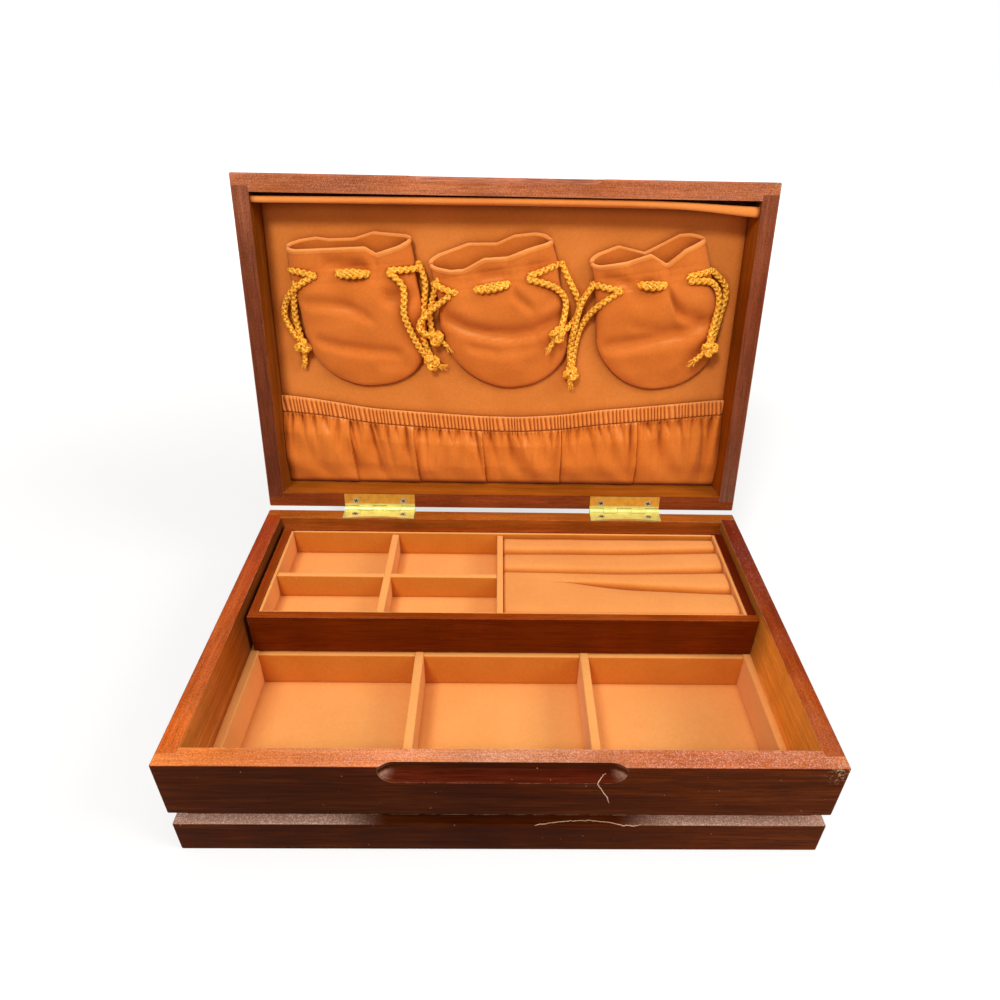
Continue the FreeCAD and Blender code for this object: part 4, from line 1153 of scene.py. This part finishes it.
# A tight overhand knot and its short frayed end
def cord_knot(name, path, seed):
    draw = random.Random(seed)
    pouch_name = name.split("_")[0]
    centre, bend, end = (np.array(point, float) for point in path)
    heading = math.atan2(bend[1] - centre[1], bend[0] - centre[0])
    turns = np.linspace(0, 2 * math.pi, 97)
    across = 1.15 * (np.sin(turns) + 2 * np.sin(2 * turns))
    along = 1.2 * (np.cos(turns) - 2 * np.cos(2 * turns))
    out = 1.0 - 1.8 * np.sin(3 * turns)
    loop = np.column_stack([
        centre[0] + along * math.cos(heading) - across * math.sin(heading),
        centre[1] + along * math.sin(heading) + across * math.cos(heading),
        centre[2] + out,
    ])
    points = []
    faces = []
    plait(beside_pouch(pouch_name, loop), points, faces, 1.0)
    ahead = (end - bend) / np.linalg.norm(end - bend)
    stop = end - 3.0 * ahead
    plait(route_line(beside_pouch(pouch_name, (centre, bend, stop))), points, faces, 0.8)
    for _ in range(18):
        spread = np.array([draw.uniform(-1, 1), draw.uniform(-1, 1), draw.uniform(-0.5, 0.9)])
        root = stop - 1.2 * ahead + 0.7 * spread
        middle = stop + 1.4 * ahead + 1.3 * spread
        tip = stop + draw.uniform(2.2, 4.0) * ahead + 2.0 * spread
        thread = route_line(beside_pouch(pouch_name, (root, middle, tip)))[::4]
        normals, sides = carried_normals(thread)
        width = np.linspace(0.3, 0.16, len(thread)) * MM
        made, strips = tube(thread, normals, sides, width, width, 5, sum(map(len, points)))
        points.append(made)
        faces += strips
    return add_piece(
        name + "_knot", np.concatenate(points), faces, "lid", gold, ["drawcord_knots"]
    )


for seed, (name, strands) in enumerate(tails.items()):
    knot = cord_knot(name, knots[name], seed)
    for index, route in enumerate(strands):
        line = route_line(beside_pouch(name.split("_")[0], route))
        points = []
        faces = []
        plait(line, points, faces)
        title = name + "_strand_" + str(index + 1)
        strand = add_piece(title, np.concatenate(points), faces, "lid", gold, [name])

# Stretches of cord that show between the holes of each pouch's casing
run_rise = 0.7
run_points = []
run_faces = []
for pouch_name, paths in casing_runs.items():
    for path in paths:
        start, middle, end = np.array(path) + (0, 0, run_rise)
        sunk = (start + (-0.4, 0, -3.4), start, middle, end, end + (0.4, 0, -3.4))
        plait(route_line(beside_pouch(pouch_name, sunk)), run_points, run_faces)
add_piece(
    "drawcord_casing_braids", np.concatenate(run_points), run_faces, "lid", gold,
    ["drawcord_casing_runs"],
)

mark_half = 1.3 * MM
mark_width = 0.28 * MM
mark_depth = 0.05 * MM
screw_spacing = 12 * MM


# Crossed slots in the screw heads, as thin dark bars just under and over each head's face: painted shade of
# the slots
def screw_marks(name, node, body, lid_side):
    low, high = closed_box(node) if lid_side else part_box(node)
    face = low[2] if lid_side else high[2]
    places = np.array([vertex.co for vertex in frame["nodes"][node].data.vertices])
    if lid_side:
        places = closed(places)
    groups = {}
    for place in places:
        groups.setdefault(round(place[0] / screw_spacing), []).append(place)
    points = []
    faces = []
    for group in groups.values():
        centre = (np.min(group, axis=0) + np.max(group, axis=0)) / 2
        for angle in (0.6, 0.6 + math.pi / 2):
            first = len(points)
            along = np.array((math.cos(angle), math.sin(angle)))
            beside = np.array((-along[1], along[0]))
            for z in (face - mark_depth, face + mark_depth):
                for out, over in ((-1, -1), (1, -1), (1, 1), (-1, 1)):
                    flat = centre[:2] + out * mark_half * along + over * mark_width * beside
                    points.append((*flat, z))
            quads = ((0, 1, 2, 3), (4, 5, 6, 7), (0, 1, 5, 4), (1, 2, 6, 5), (2, 3, 7, 6), (3, 0, 4, 7))
            faces += [tuple(first + corner for corner in quad) for quad in quads]
    add_piece(name, opened(points) if lid_side else points, faces, body, slot_shade)


screw_marks("base_screw_marks", "hinge_base_screws", "base", False)
screw_marks("lid_screw_marks", "hinge_lid_screws", "lid", True)

# Pale splits in the front of the base, laid on the wood
front_wall = frame["nodes"]["base_front_wall"]
front_tree = BVHTree.FromObject(front_wall, bpy.context.evaluated_depsgraph_get())
front_split = ((44.9, 54.6), (42.7, 52.4), (41.2, 50.7), (44.1, 45.2), (46.3, 41.1), (47.6, 36.9))
plinth_split = (
    (15.0, -97.3), (21.9, -96.2), (31.0, -95.1), (40.6, -94.8), (49.0, -95.7), (55.1, -97.1), (60.8, -97.3),
    (64.2, -96.8),
)
split_step = 0.4
split_jitter = 0.1


# Ragged line through the points of a split, in millimetres
def ragged(points, seed):
    points = np.array(points)
    along = np.concatenate([[0], np.cumsum(np.linalg.norm(np.diff(points, axis=0), axis=1))])
    steps = np.linspace(0, along[-1], int(along[-1] / split_step))
    line = np.stack([np.interp(steps, along, points[:, axis]) for axis in (0, 1)], axis=1)
    return line + np.random.default_rng(seed).normal(0.0, split_jitter, line.shape)


# A thin ribbon where rays from the starts meet the front wall
def split_ribbon(name, starts, ray, half):
    to_wall = front_wall.matrix_world.inverted()
    hits = [front_tree.ray_cast(to_wall @ Vector(start), ray)[:2] for start in starts]
    places = np.array([place for place, _ in hits])
    normals = np.array([normal for _, normal in hits])
    way = places[np.minimum(np.arange(len(places)) + 3, len(places) - 1)]
    way = way - places[np.maximum(np.arange(len(places)) - 3, 0)]
    sideways = unit(np.cross(way, normals))
    ends = np.minimum(np.arange(len(places)), np.arange(len(places))[::-1])
    widths = half * np.interp(ends, (0, 8), (0.35, 1.0))[:, None]
    lifted = places + 0.05 * MM * normals
    sunk = places - 0.15 * MM * normals
    rows = np.stack([lifted + widths * sideways, lifted - widths * sideways, sunk], axis=1)
    add_piece(name, rows.reshape(-1, 3), ringed_faces(len(places), 3), "base", split_wood)


front_starts = [(x * MM, -0.12, z * MM) for x, z in ragged(front_split, 3)]
plinth_starts = [(x * MM, y * MM, 0.024) for x, y in ragged(plinth_split, 4)]
split_ribbon("front_split", front_starts, Vector((0, 1, 0)), 0.2 * MM)
split_ribbon("plinth_split", plinth_starts, Vector((0, 0, -1)), 0.18 * MM)


# Rays that should meet a white surrounding: those of the camera, of gloss and through glass
def white_rays(tree):
    path = tree.nodes.new("ShaderNodeLightPath")
    share = path.outputs["Is Camera Ray"]
    for kind in ("Is Glossy Ray", "Is Transmission Ray"):
        either = tree.nodes.new("ShaderNodeMath")
        either.operation = "MAXIMUM"
        tree.links.new(share, either.inputs[0])
        tree.links.new(path.outputs[kind], either.inputs[1])
        share = either.outputs[0]
    return share


# Pale floor that keeps the object's shadow and turns white away from it
floor_half = 6.0
floor_shader = Shader("floor", Roughness=1.0, Specular_IOR_Level=0.0)
floor_shader.surface.inputs["Base Color"].default_value = (0.42, 0.42, 0.42, 1.0)
floor_shader.surface.inputs["Emission Color"].default_value = (1.0, 1.0, 1.0, 1.0)
away = floor_shader.node("ShaderNodeVectorMath", {"operation": "LENGTH"}, {0: floor_shader.place()})
glow = floor_shader.span(away.outputs["Value"], 0.3, 1.2, 0.58, 1.0)
glow = floor_shader.times(glow, white_rays(floor_shader.tree))
floor_shader.feed(floor_shader.surface.inputs["Emission Strength"], glow)
floor_mesh = bpy.data.meshes.new("floor")
floor_corners = [(x * floor_half, y * floor_half, 0) for x, y in ((-1, -1), (1, -1), (1, 1), (-1, 1))]
floor_mesh.from_pydata(floor_corners, [], [(0, 1, 2, 3)])
floor_mesh.materials.append(floor_shader.material)
floor = bpy.data.objects.new("floor", floor_mesh)
bpy.context.scene.collection.objects.link(floor)

# Soft lamps and a pale surrounding
lamp_colour = (1.0, 0.98, 0.95)


def area_light(name, place, target, size, watts):
    data = bpy.data.lights.new(name, "AREA")
    data.shape = "DISK"
    data.size = size
    data.energy = watts
    data.color = lamp_colour
    light = bpy.data.objects.new(name, data)
    light.location = place
    light.rotation_euler = (Vector(target) - Vector(place)).to_track_quat("-Z", "Y").to_euler()
    bpy.context.scene.collection.objects.link(light)


area_light("key", (-0.42, -0.98, 1.28), (0.0, 0.05, 0.1), 0.35, 14.0)
area_light("fill", (1.1, -0.35, 1.0), (0.0, 0.0, 0.05), 0.7, 8.4)
area_light("overhead", (0.05, -0.1, 1.4), (0.0, 0.0, 0.0), 1.2, 2.5)

world = bpy.data.worlds.new("world")
bpy.context.scene.world = world
world.use_nodes = True
tree = world.node_tree
ambient = tree.nodes["Background"]
ambient.inputs["Color"].default_value = (*lamp_colour, 1.0)
ambient.inputs["Strength"].default_value = 0.45
seen = tree.nodes.new("ShaderNodeBackground")
seen.inputs["Color"].default_value = (1.0, 1.0, 1.0, 1.0)
seen.inputs["Strength"].default_value = 1.0
blend = tree.nodes.new("ShaderNodeMixShader")
tree.links.new(white_rays(tree), blend.inputs[0])
tree.links.new(ambient.outputs[0], blend.inputs[1])
tree.links.new(seen.outputs[0], blend.inputs[2])
tree.links.new(blend.outputs[0], tree.nodes["World Output"].inputs["Surface"])
